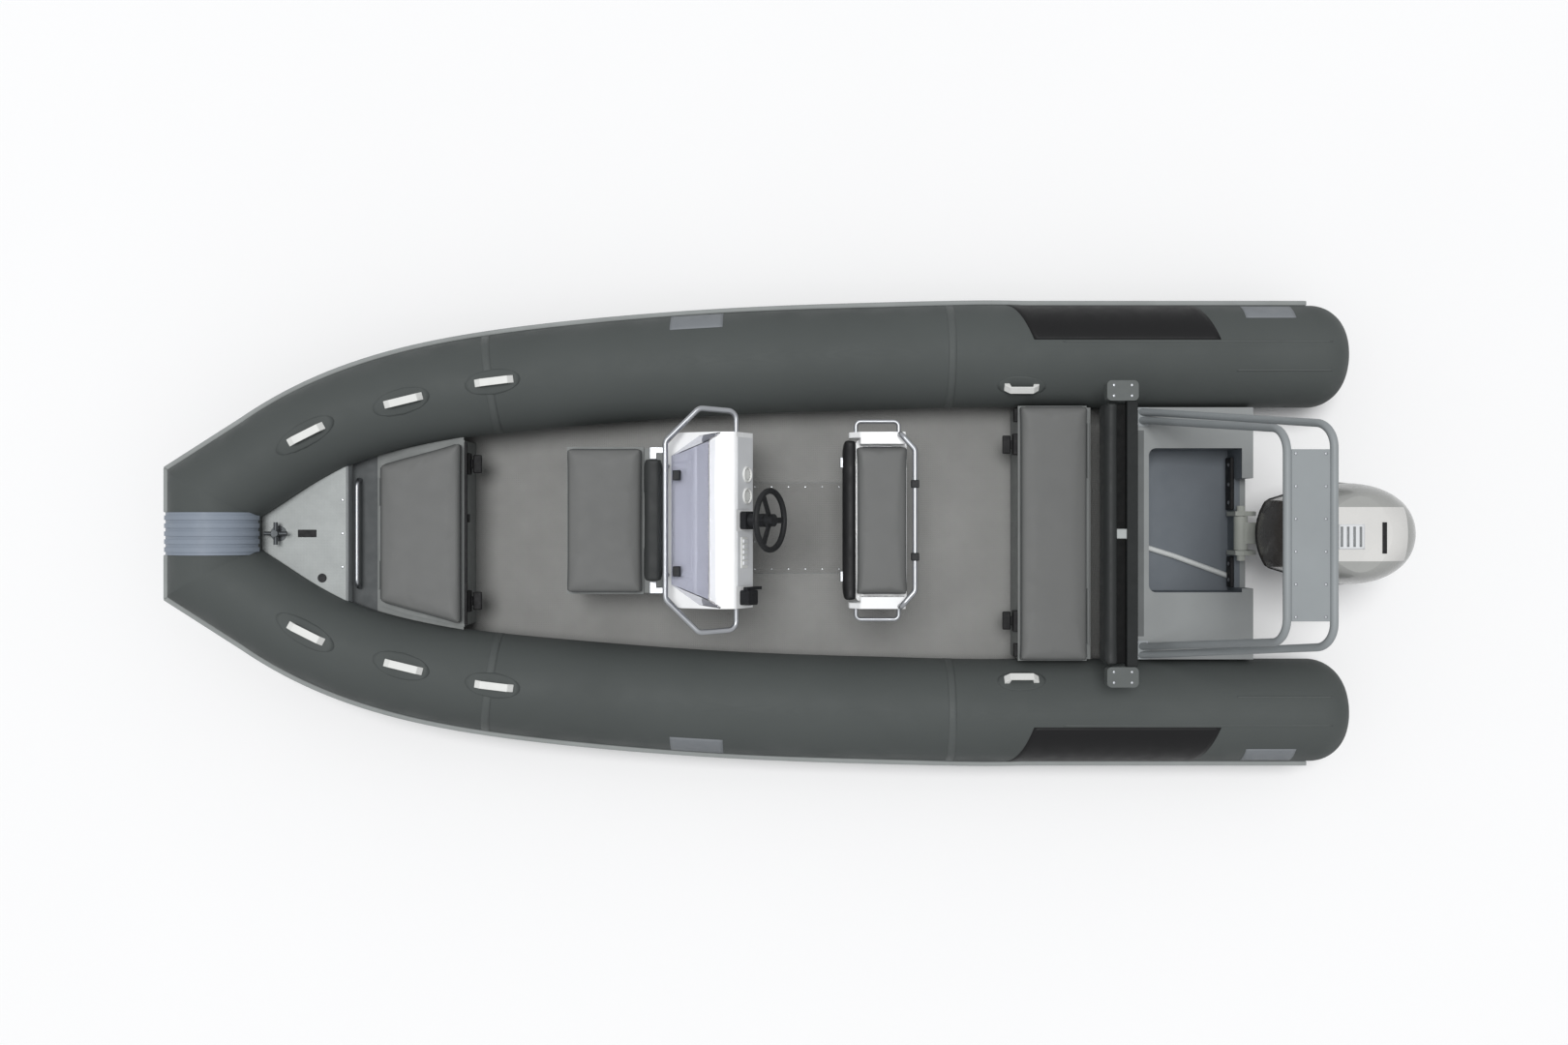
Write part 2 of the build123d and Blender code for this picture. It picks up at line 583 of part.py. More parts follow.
def hoop(foot_y, top_x, top_y):
    """One hoop, cut level on top of the feet."""
    drop = ARCH_TOP_Z - ARCH_FOOT_Z
    extra = 60 / drop
    foot = (ARCH_FOOT_X + (ARCH_FOOT_X - top_x) * extra, foot_y + (foot_y - top_y) * extra, ARCH_FOOT_Z - 60)
    bent = rail([foot, (top_x, top_y, ARCH_TOP_Z), (top_x, -top_y, ARCH_TOP_Z), (foot[0], -foot[1], foot[2])],
                ARCH_BEND, ARCH_R)
    return split(bent, bisect_by=Plane.XY.offset(ARCH_FOOT_Z), keep=Keep.TOP, mode=Mode.PRIVATE)


with BuildPart() as arch_hoops:
    add(hoop(ARCH_INNER_Y, ARCH_FRONT_X, 490))
    add(hoop(ARCH_OUTER_Y, ARCH_REAR_X, 512))
finish(arch_hoops.part, "arch_hoops")

with BuildPart() as arch_feet:
    for side in (-1, 1):
        block(ARCH_FOOT_X - 38, ARCH_FOOT_X + 38, side * (ARCH_INNER_Y - 32), side * (ARCH_OUTER_Y + 24),
              STERN_TOP_Z, ARCH_FOOT_Z)
    fillet(arch_feet.edges().filter_by(Axis.Z), 12)
finish(arch_feet.part, "arch_feet")

ARCH_PLATE_HALF = 396
with BuildPart() as arch_plate:
    block(ARCH_REAR_X + ARCH_R + 0.3, ARCH_FRONT_X - ARCH_R - 0.3, -ARCH_PLATE_HALF, ARCH_PLATE_HALF,
          ARCH_TOP_Z - 4, ARCH_TOP_Z + 4)
finish(arch_plate.part, "arch_plate")

# Console: a tall body with chamfered front corners and a sloped dash
DASH_FOOT_Z = CONSOLE_TOP_Z - DASH_DROP
with BuildPart() as console:
    side_profile(
        [(CONSOLE_FRONT_X, DECK_Z), (CONSOLE_FRONT_X, DECK_Z + 600),
         (CONSOLE_FRONT_X - 40, CONSOLE_TOP_Z - 110),
         (DASH_TOP_X + 105, CONSOLE_TOP_Z), (DASH_TOP_X, CONSOLE_TOP_Z), (DASH_FOOT_X, DASH_FOOT_Z),
         (DASH_FOOT_X + 30, DASH_FOOT_Z - 150), (DASH_FOOT_X + 75, DECK_Z)],
        CONSOLE_Y - CONSOLE_HALF, CONSOLE_Y + CONSOLE_HALF,
    )
    for side in (-1, 1):
        edge = CONSOLE_Y + side * CONSOLE_HALF
        plan([(CONSOLE_FRONT_X + 1, edge - side * 100), (CONSOLE_FRONT_X + 1, edge + side * 150),
              (CONSOLE_FRONT_X - 100, edge + side * 150), (CONSOLE_FRONT_X - 100, edge)],
             0, 2000, Mode.SUBTRACT)
    fillet(console.edges().filter_by(Axis.Z), 30)
    fillet(console.edges().filter_by(Axis.Y).filter_by_position(Axis.Z, DASH_FOOT_Z, CONSOLE_TOP_Z), 20)
finish(console.part, "console")

# Windscreen: a raked pane with two swept wings, cut to the console's top
PANE = 6


def pane_outline(front_x, front_half, wing_x, wing_half):
    """The windscreen's plan at one height, with its thickness towards the helm."""
    outer = [(wing_x, wing_half), (front_x, front_half), (front_x, -front_half), (wing_x, -wing_half)]
    inner = [(wing_x, wing_half - 8), (front_x - PANE, front_half - 3), (front_x - PANE, 3 - front_half),
             (wing_x, 8 - wing_half)]
    return [(x, CONSOLE_Y + y) for x, y in outer + inner[::-1]]


with BuildPart() as windscreen:
    for z, outline in (
        (CONSOLE_TOP_Z - 110, pane_outline(CONSOLE_FRONT_X - 55, 330, CONSOLE_FRONT_X - 180, 432)),
        (CONSOLE_TOP_Z + 280, pane_outline(CONSOLE_FRONT_X - 270, 392, CONSOLE_FRONT_X - 330, 432)),
    ):
        with BuildSketch(Plane.XY.offset(z)):
            with BuildLine():
                Polyline(*outline, close=True)
            make_face()
    loft(ruled=True)
    add(console.part, mode=Mode.SUBTRACT)
finish(windscreen.part, "windscreen")

# Grab rail that wraps the console's front and sides on two stanchions
WRAP_X = CONSOLE_FRONT_X - 40
WRAP_Z = CONSOLE_TOP_Z + 30
with BuildPart() as console_rail:
    corners = [(DASH_TOP_X, CONSOLE_HALF, CONSOLE_TOP_Z - 70),
               (DASH_TOP_X, CONSOLE_HALF + 108, CONSOLE_TOP_Z - 70),
               (DASH_TOP_X + 185, CONSOLE_HALF + 120, WRAP_Z - 30), (WRAP_X, CONSOLE_HALF - 50, WRAP_Z)]
    line = corners + [(x, -y, z) for x, y, z in reversed(corners)]
    add(rail([(x, y + CONSOLE_Y, z) for x, y, z in line], 45, RAIL_R))
    for side in (-1, 1):
        with Locations((WRAP_X, CONSOLE_Y + side * 280, WRAP_Z - 100)):
            Cylinder(11, 200)
    add(console.part, mode=Mode.SUBTRACT)
finish(console_rail.part, "console_rail")

# Helm boss on the dash, steering wheel on its shaft, throttle control
DASH_SLOPE = degrees(atan((DASH_TOP_X - DASH_FOOT_X) / DASH_DROP))
WHEEL_WAY = Vector(-cos(radians(DASH_SLOPE)), 0, sin(radians(DASH_SLOPE)))
DASH_MID = Vector((DASH_TOP_X + DASH_FOOT_X) / 2, CONSOLE_Y, CONSOLE_TOP_Z - DASH_DROP / 2)
DASH_PLANE = Plane(origin=DASH_MID, x_dir=(0, 1, 0), z_dir=WHEEL_WAY)
SHAFT_R = 9
with BuildPart() as helm_boss:
    with BuildSketch(DASH_PLANE):
        RectangleRounded(92, 96, 16)
    extrude(amount=34)
    with BuildSketch(DASH_PLANE.offset(34)):
        Circle(34)
    extrude(amount=WHEEL_REACH - 34 - 26)
    with BuildSketch(DASH_PLANE.offset(WHEEL_REACH - 26)):
        Circle(SHAFT_R)
    extrude(amount=40)
finish(helm_boss.part, "helm_boss")

WHEEL_PLANE = DASH_PLANE.offset(WHEEL_REACH)
with BuildPart() as steering_wheel:
    with Locations(WHEEL_PLANE):
        Torus(WHEEL_R - 15, 15)
        Cylinder(32, 50)
    for turn in (90, 210, 330):
        with BuildSketch(WHEEL_PLANE):
            with Locations((75 * cos(radians(turn)), 75 * sin(radians(turn)))):
                Rectangle(150, 30, rotation=turn)
        extrude(amount=5, both=True)
    with Locations(WHEEL_PLANE.offset(-25)):
        Cylinder(SHAFT_R + RUN_GAP, 42, align=(Align.CENTER, Align.CENTER, Align.MIN), mode=Mode.SUBTRACT)
finish(steering_wheel.part, "steering_wheel")

with BuildPart() as throttle:
    with BuildSketch(DASH_PLANE):
        with Locations((395, 0)):
            RectangleRounded(76, 96, 12)
    extrude(amount=52)
    with BuildSketch(DASH_PLANE.offset(26)):
        with Locations((395 - 46, 40)):
            Rectangle(16, 150)
    extrude(amount=12, both=True)
finish(throttle.part, "throttle")

# Front seat on the console: hollow box, lid and cushion, backrest on two brackets
FRONT_HINGE_X = FRONT_LID_AFT_X - KNUCKLE_R - 2
with BuildPart() as front_seat_box:
    block(CONSOLE_FRONT_X, FRONT_SEAT_FORE_X, CONSOLE_Y - FRONT_SEAT_HALF, CONSOLE_Y + FRONT_SEAT_HALF,
          DECK_Z, FRONT_SEAT_RIM_Z)
    block(FRONT_LID_AFT_X + 20, FRONT_SEAT_FORE_X - WALL, CONSOLE_Y - FRONT_SEAT_HALF + WALL,
          CONSOLE_Y + FRONT_SEAT_HALF - WALL, DECK_Z + WALL, FRONT_SEAT_RIM_Z + 10, Mode.SUBTRACT)
    fillet(front_seat_box.edges().filter_by(Axis.Z).group_by(Axis.X)[-1], 9)
    knuckle_feet(FRONT_HINGE_X, FRONT_SEAT_RIM_Z,
                 ((CONSOLE_Y - 300, CONSOLE_Y - 150.5), (CONSOLE_Y + 150.5, CONSOLE_Y + 300)))
finish(front_seat_box.part, "front_seat_box")

with BuildPart() as front_seat_lid:
    block(FRONT_LID_AFT_X, FRONT_SEAT_FORE_X + 8,
          CONSOLE_Y - FRONT_SEAT_HALF - 6, CONSOLE_Y + FRONT_SEAT_HALF + 6,
          FRONT_SEAT_RIM_Z + LID_GAP, FRONT_SEAT_RIM_Z + LID_GAP + LID_THICK)
    knuckles(FRONT_HINGE_X, FRONT_SEAT_RIM_Z, ((CONSOLE_Y - 150, CONSOLE_Y + 150),), FRONT_LID_AFT_X + 5)
finish(front_seat_lid.part, "front_seat_lid")

FRONT_SEAT_Z = FRONT_SEAT_RIM_Z + LID_GAP + LID_THICK
with BuildPart() as front_cushion:
    block(FRONT_LID_AFT_X + 4, FRONT_SEAT_FORE_X + 4,
          CONSOLE_Y - FRONT_SEAT_HALF, CONSOLE_Y + FRONT_SEAT_HALF, FRONT_SEAT_Z, FRONT_SEAT_Z + CUSHION)
    fillet(front_cushion.edges().group_by(Axis.Z)[-1], 22)
finish(front_cushion.part, "front_cushion")

FRONT_PAD_Z0 = FRONT_SEAT_Z + CUSHION + 150
FRONT_PAD_Z1 = FRONT_PAD_Z0 + 235
FRONT_PAD_HALF = 318
FRONT_PAD_X = CONSOLE_FRONT_X + 72
with BuildPart() as front_backrest:
    side_profile([(FRONT_PAD_X - 62, FRONT_PAD_Z0), (FRONT_PAD_X, FRONT_PAD_Z0),
                  (FRONT_PAD_X - 8, FRONT_PAD_Z1), (FRONT_PAD_X - 88, FRONT_PAD_Z1)],
                 CONSOLE_Y - FRONT_PAD_HALF, CONSOLE_Y + FRONT_PAD_HALF)
    fillet(front_backrest.edges().filter_by(Axis.Y), 18)
finish(front_backrest.part, "front_backrest")

with BuildPart() as backrest_brackets:
    for side in (-1, 1):
        y0 = CONSOLE_Y + side * FRONT_PAD_HALF
        block(FRONT_PAD_X - 50, FRONT_PAD_X - 14, y0, y0 + side * 62, FRONT_PAD_Z0 + 30, FRONT_PAD_Z0 + 66)
        block(CONSOLE_FRONT_X - 150, FRONT_PAD_X - 14, y0 + side * 30, y0 + side * 62,
              FRONT_PAD_Z0 + 30, FRONT_PAD_Z0 + 66)
    add(console.part, mode=Mode.SUBTRACT)
finish(backrest_brackets.part, "backrest_brackets")

# Helm seat: pedestal between white side plates with thick caps, cushion with a front bolster, rails
CAP_THICK = 32
with BuildPart() as helm_pedestal:
    block(HELM_AFT_X, HELM_FORE_X, CONSOLE_Y - HELM_HALF, CONSOLE_Y + HELM_HALF, DECK_Z, HELM_SEAT_Z)
    block(HELM_FORE_X - 110, HELM_FORE_X, CONSOLE_Y - HELM_HALF, CONSOLE_Y + HELM_HALF,
          DECK_Z, DECK_Z + 110, Mode.SUBTRACT)
    fillet(helm_pedestal.edges().filter_by(Axis.Z), 35)
finish(helm_pedestal.part, "helm_pedestal")

with BuildPart() as helm_cushion:
    half = HELM_HALF - CAP_THICK - 4
    block(HELM_AFT_X, HELM_FORE_X - 2, CONSOLE_Y - half, CONSOLE_Y + half, HELM_SEAT_Z, HELM_SEAT_Z + 80)
    fillet(helm_cushion.edges().group_by(Axis.Z)[-1], 24)
finish(helm_cushion.part, "helm_cushion")

with BuildPart() as helm_bolster:
    block(HELM_FORE_X, HELM_FORE_X + 58, CONSOLE_Y - HELM_HALF + 10, CONSOLE_Y + HELM_HALF - 10,
          HELM_SEAT_Z - 60, HELM_SEAT_Z + 66)
    fillet(helm_bolster.edges().filter_by(Axis.Y).sort_by(Axis.X)[-2:], 26)
finish(helm_bolster.part, "helm_bolster")

PLATE_THICK = 30
with BuildPart() as helm_sides:
    for side in (-1, 1):
        y0 = CONSOLE_Y + side * HELM_HALF
        side_profile([(HELM_AFT_X + 15, HELM_SEAT_Z - 260), (HELM_FORE_X - 40, HELM_SEAT_Z - 260),
                      (HELM_FORE_X + 36, HELM_SEAT_Z - 60), (HELM_FORE_X + 36, HELM_SEAT_Z + 70),
                      (HELM_FORE_X - 20, HELM_SEAT_Z + 135), (HELM_AFT_X + 15, HELM_SEAT_Z + 135)],
                     y0, y0 + side * PLATE_THICK)
        block(HELM_AFT_X + 15, HELM_FORE_X - 20, y0 - side * CAP_THICK, y0, HELM_SEAT_Z, HELM_SEAT_Z + 135)
finish(helm_sides.part, "helm_sides")

HELM_RAIL_Z = HELM_SEAT_Z + 135
with BuildPart() as helm_rails:
    corners = [(HELM_AFT_X + 45, HELM_HALF + 15, HELM_RAIL_Z),
               (HELM_AFT_X + 45, HELM_HALF + 15, HELM_RAIL_Z + 70),
               (HELM_AFT_X - 26, HELM_HALF - 65, HELM_RAIL_Z + 70)]
    line = corners + [(x, -y, z) for x, y, z in reversed(corners)]
    add(rail([(x, y + CONSOLE_Y, z) for x, y, z in line], 34, RAIL_R))
    for side in (-1, 1):
        root = CONSOLE_Y + side * (HELM_HALF + PLATE_THICK)
        tip = root + side * 62
        add(rail([(HELM_FORE_X - 4, root, HELM_SEAT_Z - 20), (HELM_FORE_X - 4, tip, HELM_SEAT_Z - 20),
                  (HELM_AFT_X + 40, tip, HELM_SEAT_Z - 20), (HELM_AFT_X + 40, root, HELM_SEAT_Z - 20)],
                 26, 11))
finish(helm_rails.part, "helm_rails")

with BuildPart() as rail_clamps:
    for y in (-185, 185):
        block(HELM_AFT_X - 46, HELM_AFT_X - 6, CONSOLE_Y + y - 20, CONSOLE_Y + y + 20,
              HELM_RAIL_Z + 48, HELM_RAIL_Z + 92)
    bar(HELM_AFT_X - 26, HELM_RAIL_Z + 70, RAIL_R + 0.3, CONSOLE_Y - 300, CONSOLE_Y + 300, Mode.SUBTRACT)
finish(rail_clamps.part, "rail_clamps")

# Outboard: the clamp bracket stays on the transom
CLAMP_IN = 95
CLAMP_OUT = 120
with BuildPart() as clamp_bracket:
    for side in (-1, 1):
        side_profile([(TRANSOM_X, KEEL_Z + 280), (TRANSOM_X, TRANSOM_TOP_Z), (WELL_AFT_X, TRANSOM_TOP_Z),
                      (WELL_AFT_X, TRANSOM_TOP_Z - 80), (WELL_AFT_X + 18, TRANSOM_TOP_Z - 80),
                      (PIVOT_X + 34, PIVOT_Z + 18), (PIVOT_X - 4, PIVOT_Z + 40), (PIVOT_X - 60, PIVOT_Z + 22),
                      (TRANSOM_X - 66, TRANSOM_TOP_Z - 20), (TRANSOM_X - 50, KEEL_Z + 280)],
                     side * CLAMP_IN, side * CLAMP_OUT)
    bar(PIVOT_X, PIVOT_Z, PIVOT_R, -CLAMP_OUT - 30, CLAMP_OUT + 30)
    bar(TRANSOM_X - 26, KEEL_Z + 310, 14, -CLAMP_IN - 5, CLAMP_IN + 5)
finish(clamp_bracket.part, "clamp_bracket")

# Swivel bracket: turns on the tilt tube and carries the kingpin's housing
SWIVEL_TOP_Z = PIVOT_Z + 35
SWIVEL_FOOT_Z = KEEL_Z + 345
with BuildPart() as swivel_bracket:
    bar(PIVOT_X, PIVOT_Z, PIVOT_R + 15, 3 - CLAMP_IN, CLAMP_IN - 3)
    side_profile([(PIVOT_X, PIVOT_Z - 34), (PIVOT_X, PIVOT_Z + 34), (KINGPIN_X, SWIVEL_TOP_Z),
                  (KINGPIN_X, SWIVEL_FOOT_Z), (TRANSOM_X - 68, SWIVEL_FOOT_Z),
                  (TRANSOM_X - 20, PIVOT_Z - 55)], -58, 58)
    with Locations((KINGPIN_X, 0, (SWIVEL_TOP_Z + SWIVEL_FOOT_Z) / 2)):
        Cylinder(KINGPIN_R + 18, SWIVEL_TOP_Z - SWIVEL_FOOT_Z)
        Cylinder(KINGPIN_R + RUN_GAP, 2 * (SWIVEL_TOP_Z - SWIVEL_FOOT_Z), mode=Mode.SUBTRACT)
    bar(PIVOT_X, PIVOT_Z, PIVOT_R + RUN_GAP, -CLAMP_OUT, CLAMP_OUT, Mode.SUBTRACT)
finish(swivel_bracket.part, "swivel_bracket")

# Yoke: the kingpin with the arms that carry the engine
MID_FORE_X = KINGPIN_X - 52
MID_AFT_X = TRANSOM_X - 375
with BuildPart() as yoke:
    with Locations((KINGPIN_X, 0, (COWL_FOOT_Z + SWIVEL_FOOT_Z - 45) / 2)):
        Cylinder(KINGPIN_R, COWL_FOOT_Z - SWIVEL_FOOT_Z + 45)
    block(MID_FORE_X, KINGPIN_X + 34, -62, 62, SWIVEL_TOP_Z + 4, COWL_FOOT_Z)
    block(MID_FORE_X, KINGPIN_X + 30, -50, 50, SWIVEL_FOOT_Z - 45, SWIVEL_FOOT_Z - 5)
finish(yoke.part, "yoke")

with BuildPart() as midsection:
    for z, fore, aft, half in (
        (COWL_FOOT_Z, MID_FORE_X, MID_AFT_X, 95),
        (SWIVEL_FOOT_Z - 60, MID_FORE_X, MID_AFT_X + 20, 70),
        (PLATE_Z + 8, MID_FORE_X - 5, MID_AFT_X + 20, 48),
    ):
        with BuildSketch(Plane.XY.offset(z)):
            with Locations(((fore + aft) / 2, 0)):
                RectangleRounded(fore - aft, 2 * half, half * 0.6)
    loft(ruled=True)
finish(midsection.part, "midsection")

# Gearcase: water plate, strut, torpedo with shaft stub, and skeg
TORPEDO_R = 56
TORPEDO_FORE_X = KINGPIN_X - 15
PLATE_AFT_X = PROP_X - 25
with BuildPart() as gearcase:
    with BuildSketch(Plane.XY.offset(PLATE_Z - 6)):
        with Locations(((MID_FORE_X + PLATE_AFT_X) / 2, 0)):
            RectangleRounded(MID_FORE_X - PLATE_AFT_X, 230, 70)
    extrude(amount=14)
    for z, long, half in ((PLATE_Z, 240, 42), (PROP_Z, 300, 34)):
        with BuildSketch(Plane.XY.offset(z)):
            with Locations((PROP_X + 230, 0)):
                SlotOverall(long, 2 * half)
    loft()
    with BuildSketch(Plane(origin=(0, 0, PROP_Z), x_dir=(1, 0, 0), z_dir=(0, -1, 0))):
        with BuildLine():
            Polyline((PROP_X + 3, 0), (PROP_X + 3, 44), (PROP_X + 120, TORPEDO_R),
                     (TORPEDO_FORE_X - 150, TORPEDO_R), (TORPEDO_FORE_X - 50, 40), (TORPEDO_FORE_X, 0),
                     close=True)
        make_face()
    revolve(axis=Axis((0, 0, PROP_Z), (1, 0, 0)))
    side_profile([(PROP_X + 315, PROP_Z - 20), (PROP_X + 225, PROP_Z - 190), (PROP_X + 115, PROP_Z - 195),
                  (PROP_X + 85, PROP_Z - 20)], -7, 7)
    with Locations(Plane(origin=(PROP_X + 20, 0, PROP_Z), z_dir=(-1, 0, 0))):
        Cylinder(14, HUB_LONG + 10, align=(Align.CENTER, Align.CENTER, Align.MIN))
finish(gearcase.part, "gearcase")

# Propeller: a hub with three twisted blades
BLADE_PITCH = 480
with BuildPart() as propeller_blade:
    for reach, chord, thick in ((40, 96, 14), (110, 150, 10), (PROP_R, 84, 5)):
        turn = atan(BLADE_PITCH / (2 * pi * reach))
        with BuildSketch(Plane(origin=(PROP_X - HUB_LONG / 2, 0, PROP_Z + reach),
                               x_dir=(sin(turn), cos(turn), 0), z_dir=(0, 0, 1))):
            SlotOverall(chord, thick)
    loft()

with BuildPart() as propeller:
    with Locations(Plane(origin=(PROP_X, 0, PROP_Z), z_dir=(-1, 0, 0))):
        Cylinder(HUB_R, HUB_LONG, align=(Align.CENTER, Align.CENTER, Align.MIN))
    for turn in (0, 120, 240):
        add(propeller_blade.part.rotate(Axis((0, 0, PROP_Z), (1, 0, 0)), turn))
    with Locations(Plane(origin=(PROP_X + 20, 0, PROP_Z), z_dir=(-1, 0, 0))):
        Cylinder(14 + RUN_GAP, HUB_LONG + 40, align=(Align.CENTER, Align.CENTER, Align.MIN),
                 mode=Mode.SUBTRACT)
finish(propeller.part, "propeller")


# Cowl: a lower pan and a hollow hood over the powerhead. Its plan: share of the length, half width
COWL_PLAN = ((0.07, 178), (0.27, 226), (0.52, 268), (0.72, 250), (0.90, 178))


def cowl_outline(z, inset, taper):
    """The cowl's plan at one height, slim at both ends: inset all round, the ends drawn in by taper."""
    fore, aft = COWL_FORE_X - inset - taper, COWL_AFT_X + inset + 1.6 * taper
    bulge = [(fore + (aft - fore) * along, half - inset) for along, half in COWL_PLAN]
    with BuildSketch(Plane.XY.offset(z)) as outline:
        with BuildLine():
            ThreePointArc(bulge[0], (fore, 0), (bulge[0][0], -bulge[0][1]))
            Spline(*[(x, -y) for x, y in bulge])
            ThreePointArc((bulge[-1][0], -bulge[-1][1]), (aft, 0), bulge[-1])
            Spline(*reversed(bulge))
        make_face()
    return outline.sketch


PAN_ROWS = ((COWL_FOOT_Z, 50, 40), (COWL_FOOT_Z + 50, 8, 6), (COWL_SPLIT_Z, 0, 0))
with BuildPart() as lower_cowl:
    loft([cowl_outline(*row) for row in PAN_ROWS], ruled=True)
finish(lower_cowl.part, "lower_cowl")

HOOD_TURNS = (0, 16, 32, 48, 63, 76)        # the hood's side rolls over to its top through these angles
HOOD_ROUND = 0.8
HOOD_INSET = 110
HOOD_TAPER = 150
HOOD_WALL = 14


def hood_row(turn):
    height = (sin(radians(turn)) / sin(radians(HOOD_TURNS[-1]))) ** HOOD_ROUND
    lean = 1 - cos(radians(turn)) ** HOOD_ROUND
    return COWL_SPLIT_Z + (COWL_TOP_Z - COWL_SPLIT_Z) * height, HOOD_INSET * lean, HOOD_TAPER * lean


HOOD_ROWS = [hood_row(turn) for turn in HOOD_TURNS]
with BuildPart() as upper_cowl:
    loft([cowl_outline(*row) for row in HOOD_ROWS])
    loft([cowl_outline(z, inset + HOOD_WALL, taper + 9) for z, inset, taper in HOOD_ROWS[:4]],
         ruled=True, mode=Mode.SUBTRACT)
finish(upper_cowl.part, "upper_cowl")

with BuildPart() as powerhead:
    block(COWL_FORE_X - 130, COWL_FORE_X - 560, -135, 135, COWL_SPLIT_Z, COWL_SPLIT_Z + 330)
finish(powerhead.part, "powerhead")
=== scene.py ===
# %% [markdown]
# # Dressing a rigid inflatable boat
# The boat's solids are already measured, packed and jointed. This lesson leaves them where they are, gives each
# one a finish, and adds what solids do badly: stuffed cushions, glued patches, seams, dials and screws.
# X points to the bow, Y to port and Z up, all in metres, with the waterline at Z = 0.

# %% Load the frame
import json
from functools import lru_cache
from math import cos, pi, radians, sin

import bmesh
import bpy
from mathutils import Matrix, Vector
from mathutils.bvhtree import BVHTree


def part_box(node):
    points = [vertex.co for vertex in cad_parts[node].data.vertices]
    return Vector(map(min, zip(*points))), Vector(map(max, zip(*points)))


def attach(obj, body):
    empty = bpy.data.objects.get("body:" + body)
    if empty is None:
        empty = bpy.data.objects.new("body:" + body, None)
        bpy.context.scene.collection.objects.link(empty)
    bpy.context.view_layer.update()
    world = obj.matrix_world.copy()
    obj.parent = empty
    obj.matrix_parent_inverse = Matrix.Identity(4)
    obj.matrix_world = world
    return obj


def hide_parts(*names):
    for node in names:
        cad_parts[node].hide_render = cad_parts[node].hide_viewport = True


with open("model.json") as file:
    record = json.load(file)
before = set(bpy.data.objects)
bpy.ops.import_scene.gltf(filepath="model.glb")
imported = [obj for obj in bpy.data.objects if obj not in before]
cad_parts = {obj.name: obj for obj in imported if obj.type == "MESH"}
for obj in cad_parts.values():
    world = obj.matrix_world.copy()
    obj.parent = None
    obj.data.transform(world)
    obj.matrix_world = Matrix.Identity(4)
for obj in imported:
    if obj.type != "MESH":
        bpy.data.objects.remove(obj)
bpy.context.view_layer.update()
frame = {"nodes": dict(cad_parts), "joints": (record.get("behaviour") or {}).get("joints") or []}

nodes = frame["nodes"]
scene = bpy.context.scene

# %% [markdown]
# ## The camera
# The boat is seen from straight above with its bow to the left. A camera with no turn looks down with +X to the
# right, so half a turn about Z puts the bow on the left and starboard at the top. The height and the lens come
# from one scale: 187.4 pixels to the metre on the plane through the middle of the tubes, in a picture
# 1620 pixels wide.

# %% Camera
PICTURE_WIDE = 1620
PIXELS_PER_METRE = 187.4
TUBE_HEIGHT = 0.34
CAMERA_OVER_TUBES = 8.4
CENTRE_LINE_SHIFT = 0.059

camera_data = bpy.data.cameras.new("camera")
camera_data.sensor_width = 36.0
camera_data.lens = camera_data.sensor_width * PIXELS_PER_METRE * CAMERA_OVER_TUBES / PICTURE_WIDE
camera = bpy.data.objects.new("camera", camera_data)
camera.location = (0, -CENTRE_LINE_SHIFT, TUBE_HEIGHT + CAMERA_OVER_TUBES)
camera.rotation_euler = (0, 0, pi)
scene.collection.objects.link(camera)
scene.camera = camera
print("camera: lens", round(camera_data.lens, 2), "mm at", round(camera.location.z, 2), "m")

# %% [markdown]
# ## Shared effects
# No real surface has one even colour. Four small node groups give that life and are reused by every finish:
# a slow drift of tone and gloss, a fine grain, a woven cloth, and the raised dots of a non-slip floor. A fifth
# group is a mask for what lies inside a box, which paints a second colour on part of a moulding. Pictures could
# do the same, but a pattern that is worked out needs no file and stays sharp from near. All of the groups read
# object coordinates, which here are metres in the boat's own frame.

# %% Node group helpers
FLOAT, COLOUR, VECTOR = "NodeSocketFloat", "NodeSocketColor", "NodeSocketVector"
# A mix node keeps sockets for every kind of value; these are the places of its two colours and their result
MIX_A, MIX_B, MIX_RESULT = 6, 7, 2
# Most of a noise lies between these values
NOISE_LOW, NOISE_HIGH = 0.3, 0.7


def new_group(name, inputs, outputs):
    """A shader node group with named sockets; returns the group and its input and output nodes."""
    group = bpy.data.node_groups.new(name, "ShaderNodeTree")
    for label, kind in inputs:
        group.interface.new_socket(label, in_out="INPUT", socket_type=kind)
    for label, kind in outputs:
        group.interface.new_socket(label, in_out="OUTPUT", socket_type=kind)
    return group, group.nodes.new("NodeGroupInput"), group.nodes.new("NodeGroupOutput")


def math_node(tree, operation, first, second=None):
    """A math node fed by sockets or plain numbers; returns its output socket."""
    node = tree.nodes.new("ShaderNodeMath")
    node.operation = operation
    for socket, value in zip(node.inputs, (first, second)):
        if isinstance(value, bpy.types.NodeSocket):
            tree.links.new(value, socket)
        elif value is not None:
            socket.default_value = value
    return node.outputs[0]


def noise(tree, size, detail):
    """A noise over object coordinates whose features are about size metres; returns its value."""
    coords = tree.nodes.new("ShaderNodeTexCoord")
    texture = tree.nodes.new("ShaderNodeTexNoise")
    texture.inputs["Detail"].default_value = detail
    tree.links.new(coords.outputs["Object"], texture.inputs["Vector"])
    tree.links.new(math_node(tree, "DIVIDE", 1.0, size), texture.inputs["Scale"])
    return texture.outputs["Fac"]


def spread(tree, value, low, high):
    """The middle of a noise stretched to run from low to high."""
    node = tree.nodes.new("ShaderNodeMapRange")
    node.inputs["From Min"].default_value = NOISE_LOW
    node.inputs["From Max"].default_value = NOISE_HIGH
    tree.links.new(value, node.inputs["Value"])
    tree.links.new(low, node.inputs["To Min"])
    tree.links.new(high, node.inputs["To Max"])
    return node.outputs["Result"]


print("mix sockets:", MIX_A, MIX_B, MIX_RESULT)

